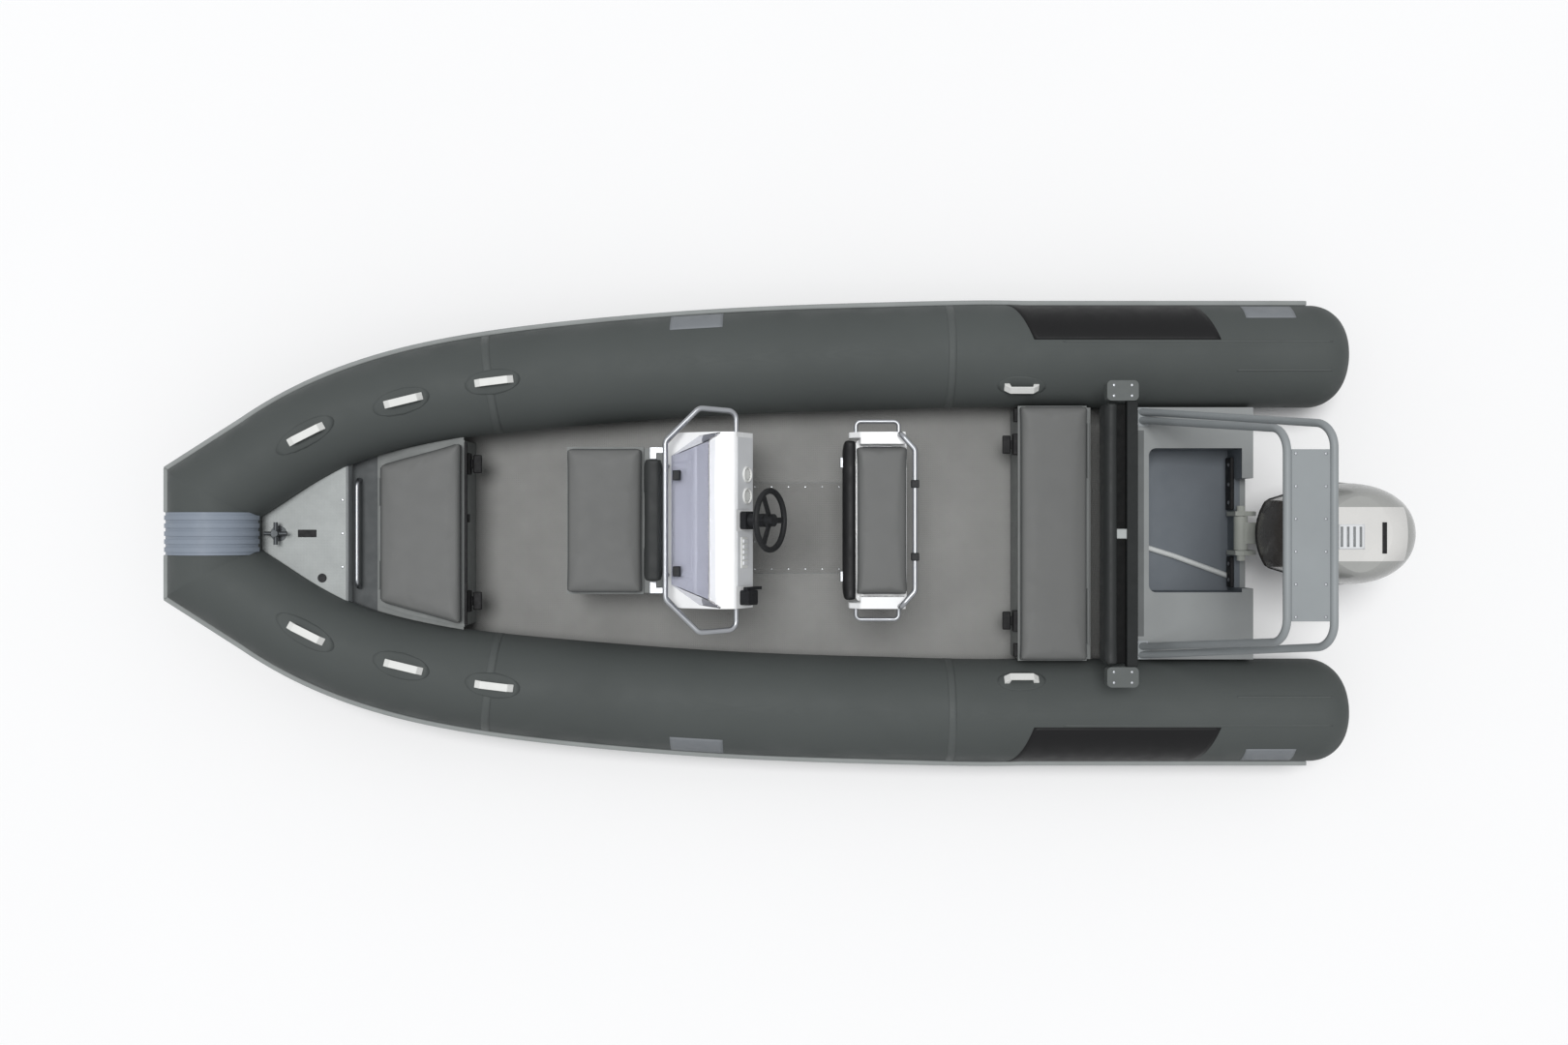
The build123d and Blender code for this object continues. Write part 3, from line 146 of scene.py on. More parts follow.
# %% Drift of tone and gloss
GLOSS_SHARE = 0.22
group, life_in, life_out = new_group(
    "surface_life",
    [("Colour", COLOUR), ("Tone", FLOAT), ("Patch Size", FLOAT), ("Rough Low", FLOAT), ("Rough High", FLOAT)],
    [("Colour", COLOUR), ("Roughness", FLOAT)],
)
slow = noise(group, life_in.outputs["Patch Size"], 4.0)
darker = math_node(group, "SUBTRACT", 1.0, life_in.outputs["Tone"])
lighter = math_node(group, "ADD", 1.0, life_in.outputs["Tone"])
tint = group.nodes.new("ShaderNodeMix")
tint.data_type = "RGBA"
tint.blend_type = "MULTIPLY"
tint.inputs["Factor"].default_value = 1.0
group.links.new(life_in.outputs["Colour"], tint.inputs[MIX_A])
group.links.new(spread(group, slow, darker, lighter), tint.inputs[MIX_B])
group.links.new(tint.outputs[MIX_RESULT], life_out.inputs["Colour"])
quick_patches = math_node(group, "MULTIPLY", life_in.outputs["Patch Size"], GLOSS_SHARE)
gloss = spread(group, noise(group, quick_patches, 3.0), life_in.outputs["Rough Low"], life_in.outputs["Rough High"])
group.links.new(gloss, life_out.inputs["Roughness"])
print("group", group.name)

# %% Grain, weave, dots and the box mask
# A wave texture of scale 1 repeats about every 0.314 m; a dot's height falls from its top to its foot
WAVE_LENGTH = 0.314
DOT_TOP, DOT_FOOT = 0.30, 0.42
group, grain_in, grain_out = new_group("grain", [("Size", FLOAT)], [("Height", FLOAT)])
group.links.new(noise(group, grain_in.outputs["Size"], 2.0), grain_out.inputs["Height"])

group, weave_in, weave_out = new_group("weave", [("Size", FLOAT)], [("Height", FLOAT)])
threads = []
for direction in ("X", "Y", "Z"):
    coords = group.nodes.new("ShaderNodeTexCoord")
    wave = group.nodes.new("ShaderNodeTexWave")
    wave.bands_direction = direction
    wave.inputs["Distortion"].default_value = 0.4
    group.links.new(coords.outputs["Object"], wave.inputs["Vector"])
    group.links.new(math_node(group, "DIVIDE", WAVE_LENGTH, weave_in.outputs["Size"]), wave.inputs["Scale"])
    threads.append(wave.outputs["Fac"])
crossed = math_node(group, "MULTIPLY", math_node(group, "MULTIPLY", threads[0], threads[1]), threads[2])
group.links.new(crossed, weave_out.inputs["Height"])

group, dots_in, dots_out = new_group("grip_dots", [("Size", FLOAT)], [("Height", FLOAT)])
coords = group.nodes.new("ShaderNodeTexCoord")
cells = group.nodes.new("ShaderNodeTexVoronoi")
cells.inputs["Randomness"].default_value = 0.0
group.links.new(coords.outputs["Object"], cells.inputs["Vector"])
group.links.new(math_node(group, "DIVIDE", 1.0, dots_in.outputs["Size"]), cells.inputs["Scale"])
dot = group.nodes.new("ShaderNodeMapRange")
dot.inputs["From Min"].default_value = DOT_FOOT
dot.inputs["From Max"].default_value = DOT_TOP
group.links.new(cells.outputs["Distance"], dot.inputs["Value"])
group.links.new(dot.outputs["Result"], dots_out.inputs["Height"])

group, box_in, box_out = new_group("inside_box", [("Low", VECTOR), ("High", VECTOR)], [("Mask", FLOAT)])
coords = group.nodes.new("ShaderNodeTexCoord")
depths = []
for first, second in ((coords.outputs["Object"], box_in.outputs["Low"]),
                      (box_in.outputs["High"], coords.outputs["Object"])):
    minus = group.nodes.new("ShaderNodeVectorMath")
    minus.operation = "SUBTRACT"
    group.links.new(first, minus.inputs[0])
    group.links.new(second, minus.inputs[1])
    parts = group.nodes.new("ShaderNodeSeparateXYZ")
    group.links.new(minus.outputs[0], parts.inputs[0])
    depths.extend(parts.outputs)
nearest = depths[0]
for depth in depths[1:]:
    nearest = math_node(group, "MINIMUM", nearest, depth)
group.links.new(math_node(group, "GREATER_THAN", nearest, 0.0), box_out.inputs["Mask"])
print("groups:", [g.name for g in bpy.data.node_groups])

# %% [markdown]
# ## Finishes
# A finish is a Principled shader with one of the reliefs above behind its bump. Colours are written as they
# look on a screen, 0 to 255, and turned into linear light. Where part of a moulding has a second colour, a box mask
# chooses between the two before the tone drifts: the moulding could be cut in two, but its mesh is left alone. On the
# stern block, the backrest frame and the cowl some of these areas are painted shadow and painted highlight.

# %% The finish maker


def shade(red, green, blue):
    """A screen colour as linear light."""
    levels = [c / 255 for c in (red, green, blue)]
    return [c / 12.92 if c <= 0.04045 else ((c + 0.055) / 1.055) ** 2.4 for c in levels] + [1.0]


def place_group(tree, name, **values):
    """One of the shared groups, placed in a material with its own values."""
    node = tree.nodes.new("ShaderNodeGroup")
    node.node_tree = bpy.data.node_groups[name]
    for label, value in values.items():
        node.inputs[label.replace("_", " ")].default_value = value
    return node


def finish(name, colour, rough, tone=0.05, patch=0.5, metal=0.0, coat=0.0, shine=0.2, relief="grain", size=0.002,
           depth=0.0003, areas=()):
    """A finish of one colour, with areas of other colours inside boxes given as (colour, low, high)."""
    material = bpy.data.materials.new(name)
    material.use_nodes = True
    tree = material.node_tree
    shader = tree.nodes["Principled BSDF"]
    shader.inputs["Metallic"].default_value = metal
    shader.inputs["Coat Weight"].default_value = coat
    shader.inputs["Specular IOR Level"].default_value = shine
    life = place_group(tree, "surface_life", Colour=shade(*colour), Tone=tone, Patch_Size=patch,
                       Rough_Low=rough[0], Rough_High=rough[1])
    paint = None
    for other, low, high in areas:
        mask = place_group(tree, "inside_box", Low=low, High=high)
        mix = tree.nodes.new("ShaderNodeMix")
        mix.data_type = "RGBA"
        mix.inputs[MIX_A].default_value = shade(*colour)
        mix.inputs[MIX_B].default_value = shade(*other)
        tree.links.new(mask.outputs["Mask"], mix.inputs["Factor"])
        if paint:
            tree.links.new(paint, mix.inputs[MIX_A])
        paint = mix.outputs[MIX_RESULT]
    if paint:
        tree.links.new(paint, life.inputs["Colour"])
    tree.links.new(life.outputs["Colour"], shader.inputs["Base Color"])
    tree.links.new(life.outputs["Roughness"], shader.inputs["Roughness"])
    bump = tree.nodes.new("ShaderNodeBump")
    bump.inputs["Distance"].default_value = depth
    tree.links.new(place_group(tree, relief, Size=size).outputs["Height"], bump.inputs["Height"])
    tree.links.new(bump.outputs["Normal"], shader.inputs["Normal"])
    return material


print("white as linear light:", shade(255, 255, 255))

# %% Cloth, rubber and vinyl
collar_cloth = finish("collar_cloth", (82, 86, 85), (0.5, 0.66), tone=0.05, patch=0.7, shine=0.12, relief="weave",
                      size=0.0016, depth=0.0002)
patch_cloth = finish("patch_cloth", (131, 135, 139), (0.5, 0.65), patch=0.2, relief="weave", size=0.0016)
panel_rubber = finish("panel_rubber", (16, 16, 17), (0.45, 0.55), tone=0.03, patch=0.3, size=0.001)
seam_tape = finish("seam_tape", (85, 89, 88), (0.45, 0.6), patch=0.3, relief="weave", size=0.0016)
strake_rubber = finish("strake_rubber", (148, 152, 151), (0.45, 0.6), tone=0.07, patch=0.25, size=0.0015)
black_rubber = finish("black_rubber", (28, 28, 29), (0.5, 0.68), tone=0.12, patch=0.12, size=0.0012)
bow_rubber = finish("bow_rubber", (138, 147, 159), (0.38, 0.55), tone=0.06, patch=0.2, size=0.0012)
handle_rubber = finish("handle_rubber", (232, 233, 230), (0.4, 0.55), tone=0.03, patch=0.1, size=0.001)
grey_vinyl = finish("grey_vinyl", (108, 109, 108), (0.46, 0.54), tone=0.02, patch=0.4, size=0.0018, depth=0.0004)
dark_vinyl = finish("dark_vinyl", (44, 46, 46), (0.42, 0.56), tone=0.08, patch=0.25, size=0.0018, depth=0.0004)
black_vinyl = finish("black_vinyl", (22, 22, 23), (0.4, 0.55), tone=0.08, patch=0.25, size=0.0018, depth=0.0004)
welt_cord = finish("welt_cord", (72, 74, 74), (0.45, 0.6), patch=0.1, size=0.0012)
hose_rubber = finish("hose_rubber", (206, 209, 208), (0.35, 0.5), tone=0.04, patch=0.1, size=0.001)
print(len(bpy.data.materials), "finishes so far")

# %% Paint, mouldings and metal
stern_low, stern_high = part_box("stern_block")
well_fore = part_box("well_hose")[1].x
WELL_STARBOARD, WELL_PORT = -0.47, 0.33
# Painted shadow: a darker band across the stern block's top, behind the backrest, where the backrest's shadow falls
BACKREST_SHADOW_AFT_X, BACKREST_SHADOW_FORE_X, BACKREST_SHADOW_HALF = -1.956, -1.90, 0.56
deck_mat = finish("deck_mat", (143, 143, 141), (0.55, 0.75), tone=0.06, patch=0.35, relief="grip_dots",
                  size=0.012, depth=0.0008)
hatch_mat = finish("hatch_mat", (134, 134, 132), (0.55, 0.75), tone=0.05, patch=0.3, relief="grip_dots",
                   size=0.012, depth=0.0008)
bow_plate_paint = finish("bow_plate_paint", (172, 176, 175), (0.4, 0.6), tone=0.06, patch=0.12,
                         relief="grip_dots", size=0.016, depth=0.0006)
hull_paint = finish("hull_paint", (172, 176, 177), (0.3, 0.45), tone=0.04, patch=0.6, size=0.004, depth=0.0002)
stern_paint_and_shadow = finish(
    "stern_paint_and_shadow", (144, 147, 147), (0.4, 0.6), tone=0.05, patch=0.4, size=0.002,
    areas=[((106, 112, 118), (stern_low.x + 0.03, WELL_STARBOARD, 0.1),
            (well_fore + 0.003, WELL_PORT, stern_high.z - 0.004)),
           # Painted shadow of the backrest: a dark band along the stern block's top behind it
           ((100, 103, 103), (BACKREST_SHADOW_AFT_X, -BACKREST_SHADOW_HALF, stern_high.z - 0.002),
            (BACKREST_SHADOW_FORE_X, BACKREST_SHADOW_HALF, stern_high.z + 0.01))],
)
locker_paint = finish("locker_paint", (128, 131, 130), (0.4, 0.6), tone=0.05, patch=0.3, size=0.002)
lid_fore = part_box("bow_lid")[1].x
bow_box_paint = finish(
    "bow_box_paint", (128, 131, 130), (0.45, 0.65), tone=0.06, patch=0.2, size=0.002,
    areas=[((83, 86, 87), (lid_fore + 0.002, -1, 0), (lid_fore + 1, 1, 2))],
)
cap_paint = finish("cap_paint", (92, 96, 95), (0.35, 0.5), tone=0.05, patch=0.1, size=0.003)
alloy_paint = finish("alloy_paint", (150, 155, 157), (0.35, 0.5), tone=0.04, patch=0.3, size=0.003)
gelcoat = finish("gelcoat", (248, 249, 249), (0.18, 0.32), tone=0.008, patch=0.5, coat=0.3, size=0.006, depth=0.0001)
dash_grey = finish("dash_grey", (224, 226, 228), (0.35, 0.5), tone=0.03, patch=0.2, size=0.001)
black_moulding = finish("black_moulding", (30, 31, 33), (0.38, 0.55), tone=0.1, patch=0.1, size=0.0009)
wheel_rim = finish("wheel_rim", (34, 35, 36), (0.45, 0.6), tone=0.1, patch=0.08, size=0.001, depth=0.0004)
stainless = finish("stainless", (150, 152, 155), (0.3, 0.42), tone=0.03, patch=0.1, metal=1.0, size=0.0006,
                   depth=0.00004)
cast_fitting = finish("cast_fitting", (74, 77, 79), (0.35, 0.5), tone=0.08, patch=0.05, metal=0.6, size=0.0012)
bracket_paint = finish("bracket_paint", (172, 175, 168), (0.35, 0.5), tone=0.05, patch=0.1, size=0.0012)
engine_dark = finish("engine_dark", (66, 63, 60), (0.35, 0.5), tone=0.07, patch=0.15, size=0.0012)
engine_grey = finish("engine_grey", (128, 131, 132), (0.3, 0.45), tone=0.05, patch=0.2, coat=0.2, size=0.0015)
casting = finish("casting", (92, 93, 94), (0.5, 0.7), tone=0.1, patch=0.05, metal=0.7, size=0.003, depth=0.001)
polished = finish("polished", (168, 170, 172), (0.2, 0.35), tone=0.04, patch=0.06, metal=1.0, size=0.0008,
                  depth=0.00004)
cowl_low, cowl_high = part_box("upper_cowl")
COWL_BAND, COWL_AFT, COWL_FRONT, COWL_CAP = 0.137, 0.14, 0.085, 0.10
cowl_paint_highlight_and_shadow = finish(
    "cowl_paint_highlight_and_shadow", (163, 164, 161), (0.2, 0.35), tone=0.04, patch=0.3, coat=0.3, size=0.004, depth=0.0001,
    # The white band on top is partly the cowl's two-tone paint and partly a painted highlight where the light falls
    # on its top
    areas=[((217, 216, 213), (cowl_low.x + COWL_AFT, -COWL_BAND, cowl_high.z - COWL_CAP),
            (cowl_high.x - COWL_FRONT, COWL_BAND, 2)),
           # The dark front is painted shadow: the shade that the arch plate throws on the front of the hood
           ((84, 80, 76), (cowl_high.x - COWL_FRONT, -1, 0), (1, 1, 2))],
)
pad_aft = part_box("bench_backrest")[0].x
frame_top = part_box("backrest_frame")[1].z
FRAME_DEEP, CATCH_HALF = 0.050, 0.026
frame_paint_and_gap_shadow = finish(
    "frame_paint_and_gap_shadow", (42, 44, 44), (0.4, 0.55), tone=0.08, patch=0.15, shine=0.08, size=0.001,
    # The near-black area is painted shadow: the deep shade of the gap between the backrest pad and the frame behind
    # it. The light area is the centre catch's own colour.
    areas=[((10, 11, 11), (pad_aft - FRAME_DEEP, -1, 0), (pad_aft + 0.001, 1, frame_top - 0.030)),
           ((176, 180, 179), (pad_aft - FRAME_DEEP, -CATCH_HALF, frame_top - 0.040),
            (pad_aft + 0.001, CATCH_HALF, 2))],
)
print(len(bpy.data.materials), "finishes")

# %% [markdown]
# ## Glass
# The windscreen is a clear sheet with a faint violet tint. It lets light through, so it must not throw the shadow
# of a solid wall: a light path node thins it out for shadow rays only.

# %% Windscreen glass
GLASS_SHADOW, GLASS_IOR = 0.2, 1.4
tinted_glass = finish("tinted_glass", (190, 191, 202), (0.03, 0.06), tone=0.02, patch=0.4, size=0.02, depth=0.00002)
glass_tree = tinted_glass.node_tree
glass_shader = glass_tree.nodes["Principled BSDF"]
glass_shader.inputs["Transmission Weight"].default_value = 1.0
glass_shader.inputs["IOR"].default_value = GLASS_IOR
light_path = glass_tree.nodes.new("ShaderNodeLightPath")
thinner = math_node(glass_tree, "MULTIPLY", light_path.outputs["Is Shadow Ray"], 1.0 - GLASS_SHADOW)
glass_tree.links.new(math_node(glass_tree, "SUBTRACT", 1.0, thinner), glass_shader.inputs["Alpha"])
print("glass:", tinted_glass.name)

# %% [markdown]
# ## Finishes for the solids
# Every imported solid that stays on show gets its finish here. The solids are never moved; only their material
# slots change. Boxy mouldings also get a fine bevel, because a real edge is never knife sharp and catches a thin
# line of light. It could be cut into the mesh, but a modifier leaves the measured solid as it is.

# %% Which finish goes where
WEARS = {
    collar_cloth: ("tube_port", "tube_starboard", "tube_bow"),
    strake_rubber: ("rub_strake",),
    bow_rubber: ("bow_pad",),
    handle_rubber: ("grab_handles",),
    hull_paint: ("hull",),
    deck_mat: ("deck",),
    hatch_mat: ("deck_hatch",),
    bow_plate_paint: ("bow_deck",),
    cast_fitting: ("bow_bitt",),
    stainless: ("bow_eye", "stern_eyes", "bow_rail", "console_rail", "helm_rails", "backrest_brackets"),
    bow_box_paint: ("bow_locker",),
    cap_paint: ("backrest_ends",),
    frame_paint_and_gap_shadow: ("backrest_frame",),
    locker_paint: ("bow_lid", "bench_box", "bench_lid", "front_seat_box", "front_seat_lid"),
    black_rubber: ("latches",),
    stern_paint_and_shadow: ("stern_block",),
    hose_rubber: ("well_hose",),
    black_moulding: ("helm_boss", "throttle", "rail_clamps"),
    alloy_paint: ("arch_hoops", "arch_feet", "arch_plate"),
    gelcoat: ("console", "helm_pedestal", "helm_sides"),
    tinted_glass: ("windscreen",),
    wheel_rim: ("steering_wheel",),
    bracket_paint: ("clamp_bracket", "swivel_bracket"),
    engine_dark: ("yoke",),
    engine_grey: ("midsection", "gearcase", "lower_cowl"),
    casting: ("powerhead",),
    polished: ("propeller",),
    cowl_paint_highlight_and_shadow: ("upper_cowl",),
}
SOFT_EDGED = {
    "console": 0.006, "front_seat_box": 0.004, "front_seat_lid": 0.003, "helm_pedestal": 0.006, "helm_sides": 0.006,
    "bench_box": 0.004, "bench_lid": 0.003, "bow_lid": 0.003, "stern_block": 0.008, "backrest_frame": 0.004,
    "backrest_ends": 0.006, "arch_plate": 0.002, "latches": 0.003, "bow_deck": 0.003, "backrest_brackets": 0.003,
    "grab_handles": 0.005, "clamp_bracket": 0.004, "swivel_bracket": 0.004, "throttle": 0.004, "helm_boss": 0.003,
    "rail_clamps": 0.004, "rub_strake": 0.005,
}
WELD_GAP = 0.00002
for material, names in WEARS.items():
    for name in names:
        data = nodes[name].data
        data.materials.clear()
        data.materials.append(material)
for name, width in SOFT_EDGED.items():
    weld = nodes[name].modifiers.new("weld", "WELD")
    weld.merge_threshold = WELD_GAP
    bevel = nodes[name].modifiers.new("edge", "BEVEL")
    bevel.width = width
    bevel.segments = 2
    bevel.limit_method = "ANGLE"
    bevel.angle_limit = radians(40)
print("dressed", sum(len(names) for names in WEARS.values()), "solids")

# %% [markdown]
# ## Making pieces
# A few helpers carry the rest. Each new piece is a mesh or a bead placed in the boat's frame, given a finish and
# told which body it rides on. It could be modelled by hand, but points worked out from the solids stay in place
# when a solid changes. A ray tree of a solid lets a patch find the surface that it is glued to.

# %% Piece helpers


def fitted(name, data, material, body):
    """An object of a mesh or a curve with a finish, which rides on a body."""
    data.materials.append(material)
    made = bpy.data.objects.new(name, data)
    scene.collection.objects.link(made)
    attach(made, body)
    return made


def piece(name, points, faces, material, body="boat", smooth=True):
    """A piece made from points and faces."""
    mesh = bpy.data.meshes.new(name)
    mesh.from_pydata([tuple(p) for p in points], [], faces)
    mesh.validate()
    if smooth:
        mesh.shade_smooth()
    return fitted(name, mesh, material, body)


def round_bead(name, points, radius, material, body):
    """A round bead that runs through points and closes on itself."""
    curve = bpy.data.curves.new(name, "CURVE")
    curve.dimensions = "3D"
    curve.bevel_depth = radius
    curve.bevel_resolution = 3
    line = curve.splines.new("POLY")
    line.points.add(len(points) - 1)
    line.use_cyclic_u = True
    for point, place in zip(line.points, points):
        point.co = (*place, 1.0)
    return fitted(name, curve, material, body)


def grid_piece(name, columns, rows, place, material, thick, body="boat"):
    """A thin sheet over a grid; place(u, v) gives a point for u and v from 0 to 1. It thickens both ways."""
    points = [place(i / columns, j / rows) for j in range(rows + 1) for i in range(columns + 1)]
    faces = []
    for j in range(rows):
        for i in range(columns):
            corner = j * (columns + 1) + i
            faces.append((corner, corner + 1, corner + columns + 2, corner + columns + 1))
    made = piece(name, points, faces, material, body)
    solid = made.modifiers.new("thickness", "SOLIDIFY")
    solid.thickness = thick
    solid.offset = 0.0
    return made


@lru_cache(maxsize=None)
def ray_tree(node):
    """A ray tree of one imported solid."""
    data = nodes[node].data
    return BVHTree.FromPolygons([v.co for v in data.vertices], [tuple(p.vertices) for p in data.polygons])


def turned(name, rows, centre, axis, material, segments=32):
    """A turned piece: rows of radius and height, spun about an axis through centre."""
    turn = Vector(axis).to_track_quat("Z", "Y")
    points, faces = [], []
    for radius, height in rows:
        for k in range(segments):
            angle = 2 * pi * k / segments
            points.append(Vector(centre) + turn @ Vector((radius * cos(angle), radius * sin(angle), height)))
    for r in range(len(rows) - 1):
        for k in range(segments):
            after = (k + 1) % segments
            faces.append((r * segments + k, r * segments + after, (r + 1) * segments + after, (r + 1) * segments + k))
    faces.append(tuple(range(segments - 1, -1, -1)))
    faces.append(tuple(range((len(rows) - 1) * segments, len(rows) * segments)))
    return piece(name, points, faces, material, smooth=False)


def joined(name, made):
    """Several pieces of one body joined into one."""
    bpy.ops.object.select_all(action="DESELECT")
    for other in made:
        other.select_set(True)
    bpy.context.view_layer.objects.active = made[0]
    bpy.ops.object.join()
    made[0].name = name
    made[0].data.name = name
    return made[0]


def slab(name, low, high, material, body="boat", edge=0.003, turn=None):
    """A moulded block between two corners with rounded edges; turn is a matrix that then places it."""
    mesh = bpy.data.meshes.new(name)
    shape = bmesh.new()
    bmesh.ops.create_cube(shape, size=1.0)
    low, high = Vector(low), Vector(high)
    for vertex in shape.verts:
        vertex.co = Vector([(h + l) / 2 + c * (h - l) for l, h, c in zip(low, high, vertex.co)])
    bmesh.ops.bevel(shape, geom=list(shape.edges), offset=edge, segments=3, profile=0.5, affect="EDGES")
    if turn:
        shape.transform(turn)
    shape.to_mesh(mesh)
    shape.free()
    return fitted(name, mesh, material, body)


print("helpers ready")

# %% [markdown]
# ## Patches and seams on the collar
# An inflated collar is covered in glued parts: reinforcing patches, a plain black panel on each quarter, patches
# under the handles, and tapes over the joints between lengths of cloth. A mask could paint them, but a real patch
# has an edge. So each is a thin grid that is laid on the tube by rays from outside, and it follows the round
# whatever the tube's shape is. A place on the tube is an X and an angle round its axis, 0 at the outer edge and
# 90 degrees on the crest.

# %% Finding the tube's surface
TUBES = {1: "tube_port", -1: "tube_starboard"}
# Rays look for the tube's widest place in even steps up from this height
SEARCH_FOOT, SEARCH_STEP, SEARCH_STEPS = 0.2, 0.01, 60
PATCH_THICK, TAPE_THICK, GLUE_GAP = 0.0016, 0.001, 0.0002


@lru_cache(maxsize=None)
def collar_axis(side, x):
    """Distance of a side tube's axis from the centre line, its height and its radius at x."""
    tree = ray_tree(TUBES[side])
    reach, height = 0.0, TUBE_HEIGHT
    for step in range(SEARCH_STEPS):
        z = SEARCH_FOOT + SEARCH_STEP * step
        hit = tree.ray_cast(Vector((x, 3 * side, z)), Vector((0, -side, 0)))[0]
        if hit and hit.y * side > reach:
            reach, height = hit.y * side, z
    inner = tree.ray_cast(Vector((x, 0, height)), Vector((0, side, 0)))[0].y * side
    return (reach + inner) / 2, height, (reach - inner) / 2


def collar_point(side, x, angle, lift):
    """A point on the collar at x and an angle in degrees, raised by lift."""
    y, z, radius = collar_axis(side, round(x, 4))
    out = Vector((0, side * cos(radians(angle)), sin(radians(angle))))
    centre = Vector((x, side * y, z))
    return ray_tree(TUBES[side]).ray_cast(centre + 2 * radius * out, -out)[0] + out * lift


def collar_patch(name, side, columns, rows, place, material, thick=PATCH_THICK):
    """A glued patch; place(u, v) gives x and the angle."""
    return grid_piece(name, columns, rows, lambda u, v: collar_point(side, *place(u, v), thick / 2 + GLUE_GAP),
                      material, thick)


def disc(u, v):
    """A square grid pressed into a round one, from -1 to 1 each way."""
    a, b = 2 * u - 1, 2 * v - 1
    return a * (1 - b * b / 2) ** 0.5, b * (1 - a * a / 2) ** 0.5


print("axis at x = -2:", [round(v, 3) for v in collar_axis(1, -2.0)])

# %% Patches, panels and tapes
SIDES = {1: "port", -1: "starboard"}
# Each row is a reinforcing patch: name, fore x, aft x, lower angle, upper angle
REINFORCEMENTS = (("mid", 0.615, 0.330, 15, 50), ("quarter", -2.485, -2.755, 19, 48))
PANEL_FORE_X, PANEL_AFT_X, PANEL_SLANT = -1.217, -2.215, -0.118
PANEL_FOOT, PANEL_HEAD = 9, 77
# Each row is a handle's base: x, angle round the tube, half length, half width in degrees
HANDLE_BASES = ((2.50, 98, 0.145, 15), (2.018, 98, 0.145, 15), (1.545, 93, 0.145, 14), (-1.277, 131, 0.13, 13))
# A tape goes round the tube from its foot through its sweep, in degrees; the fore one leans with the joint
TAPE_HALF, TAPE_FOOT = 0.022, 9
AFT_TAPE_X, AFT_TAPE_SWEEP = -0.9, 190
FORE_TAPE_X, FORE_TAPE_SWEEP = 1.59, 185
LEAN_OUT, LEAN_UP = 0.036, 0.023


def aft_tape(u, v):
    """A place on the aft tape, which goes straight round."""
    return AFT_TAPE_X + TAPE_HALF * (2 * u - 1), TAPE_FOOT + AFT_TAPE_SWEEP * v


def fore_tape(u, v):
    """A place on the fore tape."""
    angle = TAPE_FOOT + FORE_TAPE_SWEEP * v
    x = FORE_TAPE_X + TAPE_HALF * (2 * u - 1) + LEAN_OUT * cos(radians(angle)) - LEAN_UP * sin(radians(angle))
    return x, angle


for side, word in SIDES.items():
    for name, fore, aft, foot, head in REINFORCEMENTS:
        collar_patch(f"patch_{name}_{word}", side, 12, 10,
                     lambda u, v: (fore + (aft - fore) * u, foot + (head - foot) * v), patch_cloth)
    collar_patch(f"panel_{word}", side, 36, 20,
                 lambda u, v: (PANEL_FORE_X + (PANEL_AFT_X - PANEL_FORE_X) * u + PANEL_SLANT * v,
                               PANEL_FOOT + (PANEL_HEAD - PANEL_FOOT) * v), panel_rubber)
    for i, (x, angle, half, wide) in enumerate(HANDLE_BASES):
        collar_patch(f"handle_base_{i}_{word}", side, 12, 12,
                     lambda u, v: (x + half * disc(u, v)[0], angle + wide * disc(u, v)[1]), collar_cloth)
    collar_patch(f"tape_aft_{word}", side, 3, 60, aft_tape, seam_tape, TAPE_THICK)
    collar_patch(f"tape_fore_{word}", side, 3, 60, fore_tape, seam_tape, TAPE_THICK)
print("on each side:", len(REINFORCEMENTS), "patches,", len(HANDLE_BASES), "handle bases, a panel, two tapes")

# %% [markdown]
# ## The strake's dark line and the long seams
# The rub strake carries a black insert along the middle of its outer face, and each tube shows two long seams where
# the cloth is lapped. The strake rises to the bow with the tube, so its own upper and lower edges are found by rays
# at each station, and the insert is laid between them. The seams are strips at a set angle round the tube.

# %% Long strips
STRAKE_INSET = 0.012
STRAKE_AFT_X, STRAKE_FORE_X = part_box("rub_strake")[0].x + STRAKE_INSET, 3.22
INSERT_SHARE, INSERT_THICK, INSERT_PROUD = 0.36, 0.0024, 0.0014
# Rays look for the strake at these whole steps of height
STRAKE_STEP, STRAKE_STEPS = 0.01, range(20, 90)
# Each row is a lapped seam: angle round the tube, aft x, fore x
LONG_SEAMS = ((78, -2.93, -1.49), (110, -2.93, -2.42))
SEAM_WIDE = 2.0


def strake_hit(side, x, z):
    """Where a ray from abeam strikes the strake, if it does."""
    return ray_tree("rub_strake").ray_cast(Vector((x, 3 * side, z)), Vector((0, -side, 0)))[0]


@lru_cache(maxsize=None)
def strake_edges(side, x):
    """Heights of the strake's lower and upper edges at x, each found by halving one step of height."""
    struck = [STRAKE_STEP * k for k in STRAKE_STEPS if strake_hit(side, x, STRAKE_STEP * k)]
    edges = []
    for inside, outside in ((struck[0], struck[0] - STRAKE_STEP), (struck[-1], struck[-1] + STRAKE_STEP)):
        for _ in range(8):
            middle = (inside + outside) / 2
            inside, outside = (middle, outside) if strake_hit(side, x, middle) else (inside, middle)
        edges.append(inside)
    return edges


def insert_point(side, x, share):
    """A point of the insert; share goes from -1 at its lower edge to 1 at its upper."""
    low, high = strake_edges(side, round(x, 4))
    hit = strake_hit(side, x, (low + high) / 2 + share * INSERT_SHARE * (high - low) / 2)
    return hit + Vector((0, INSERT_PROUD * side, 0))


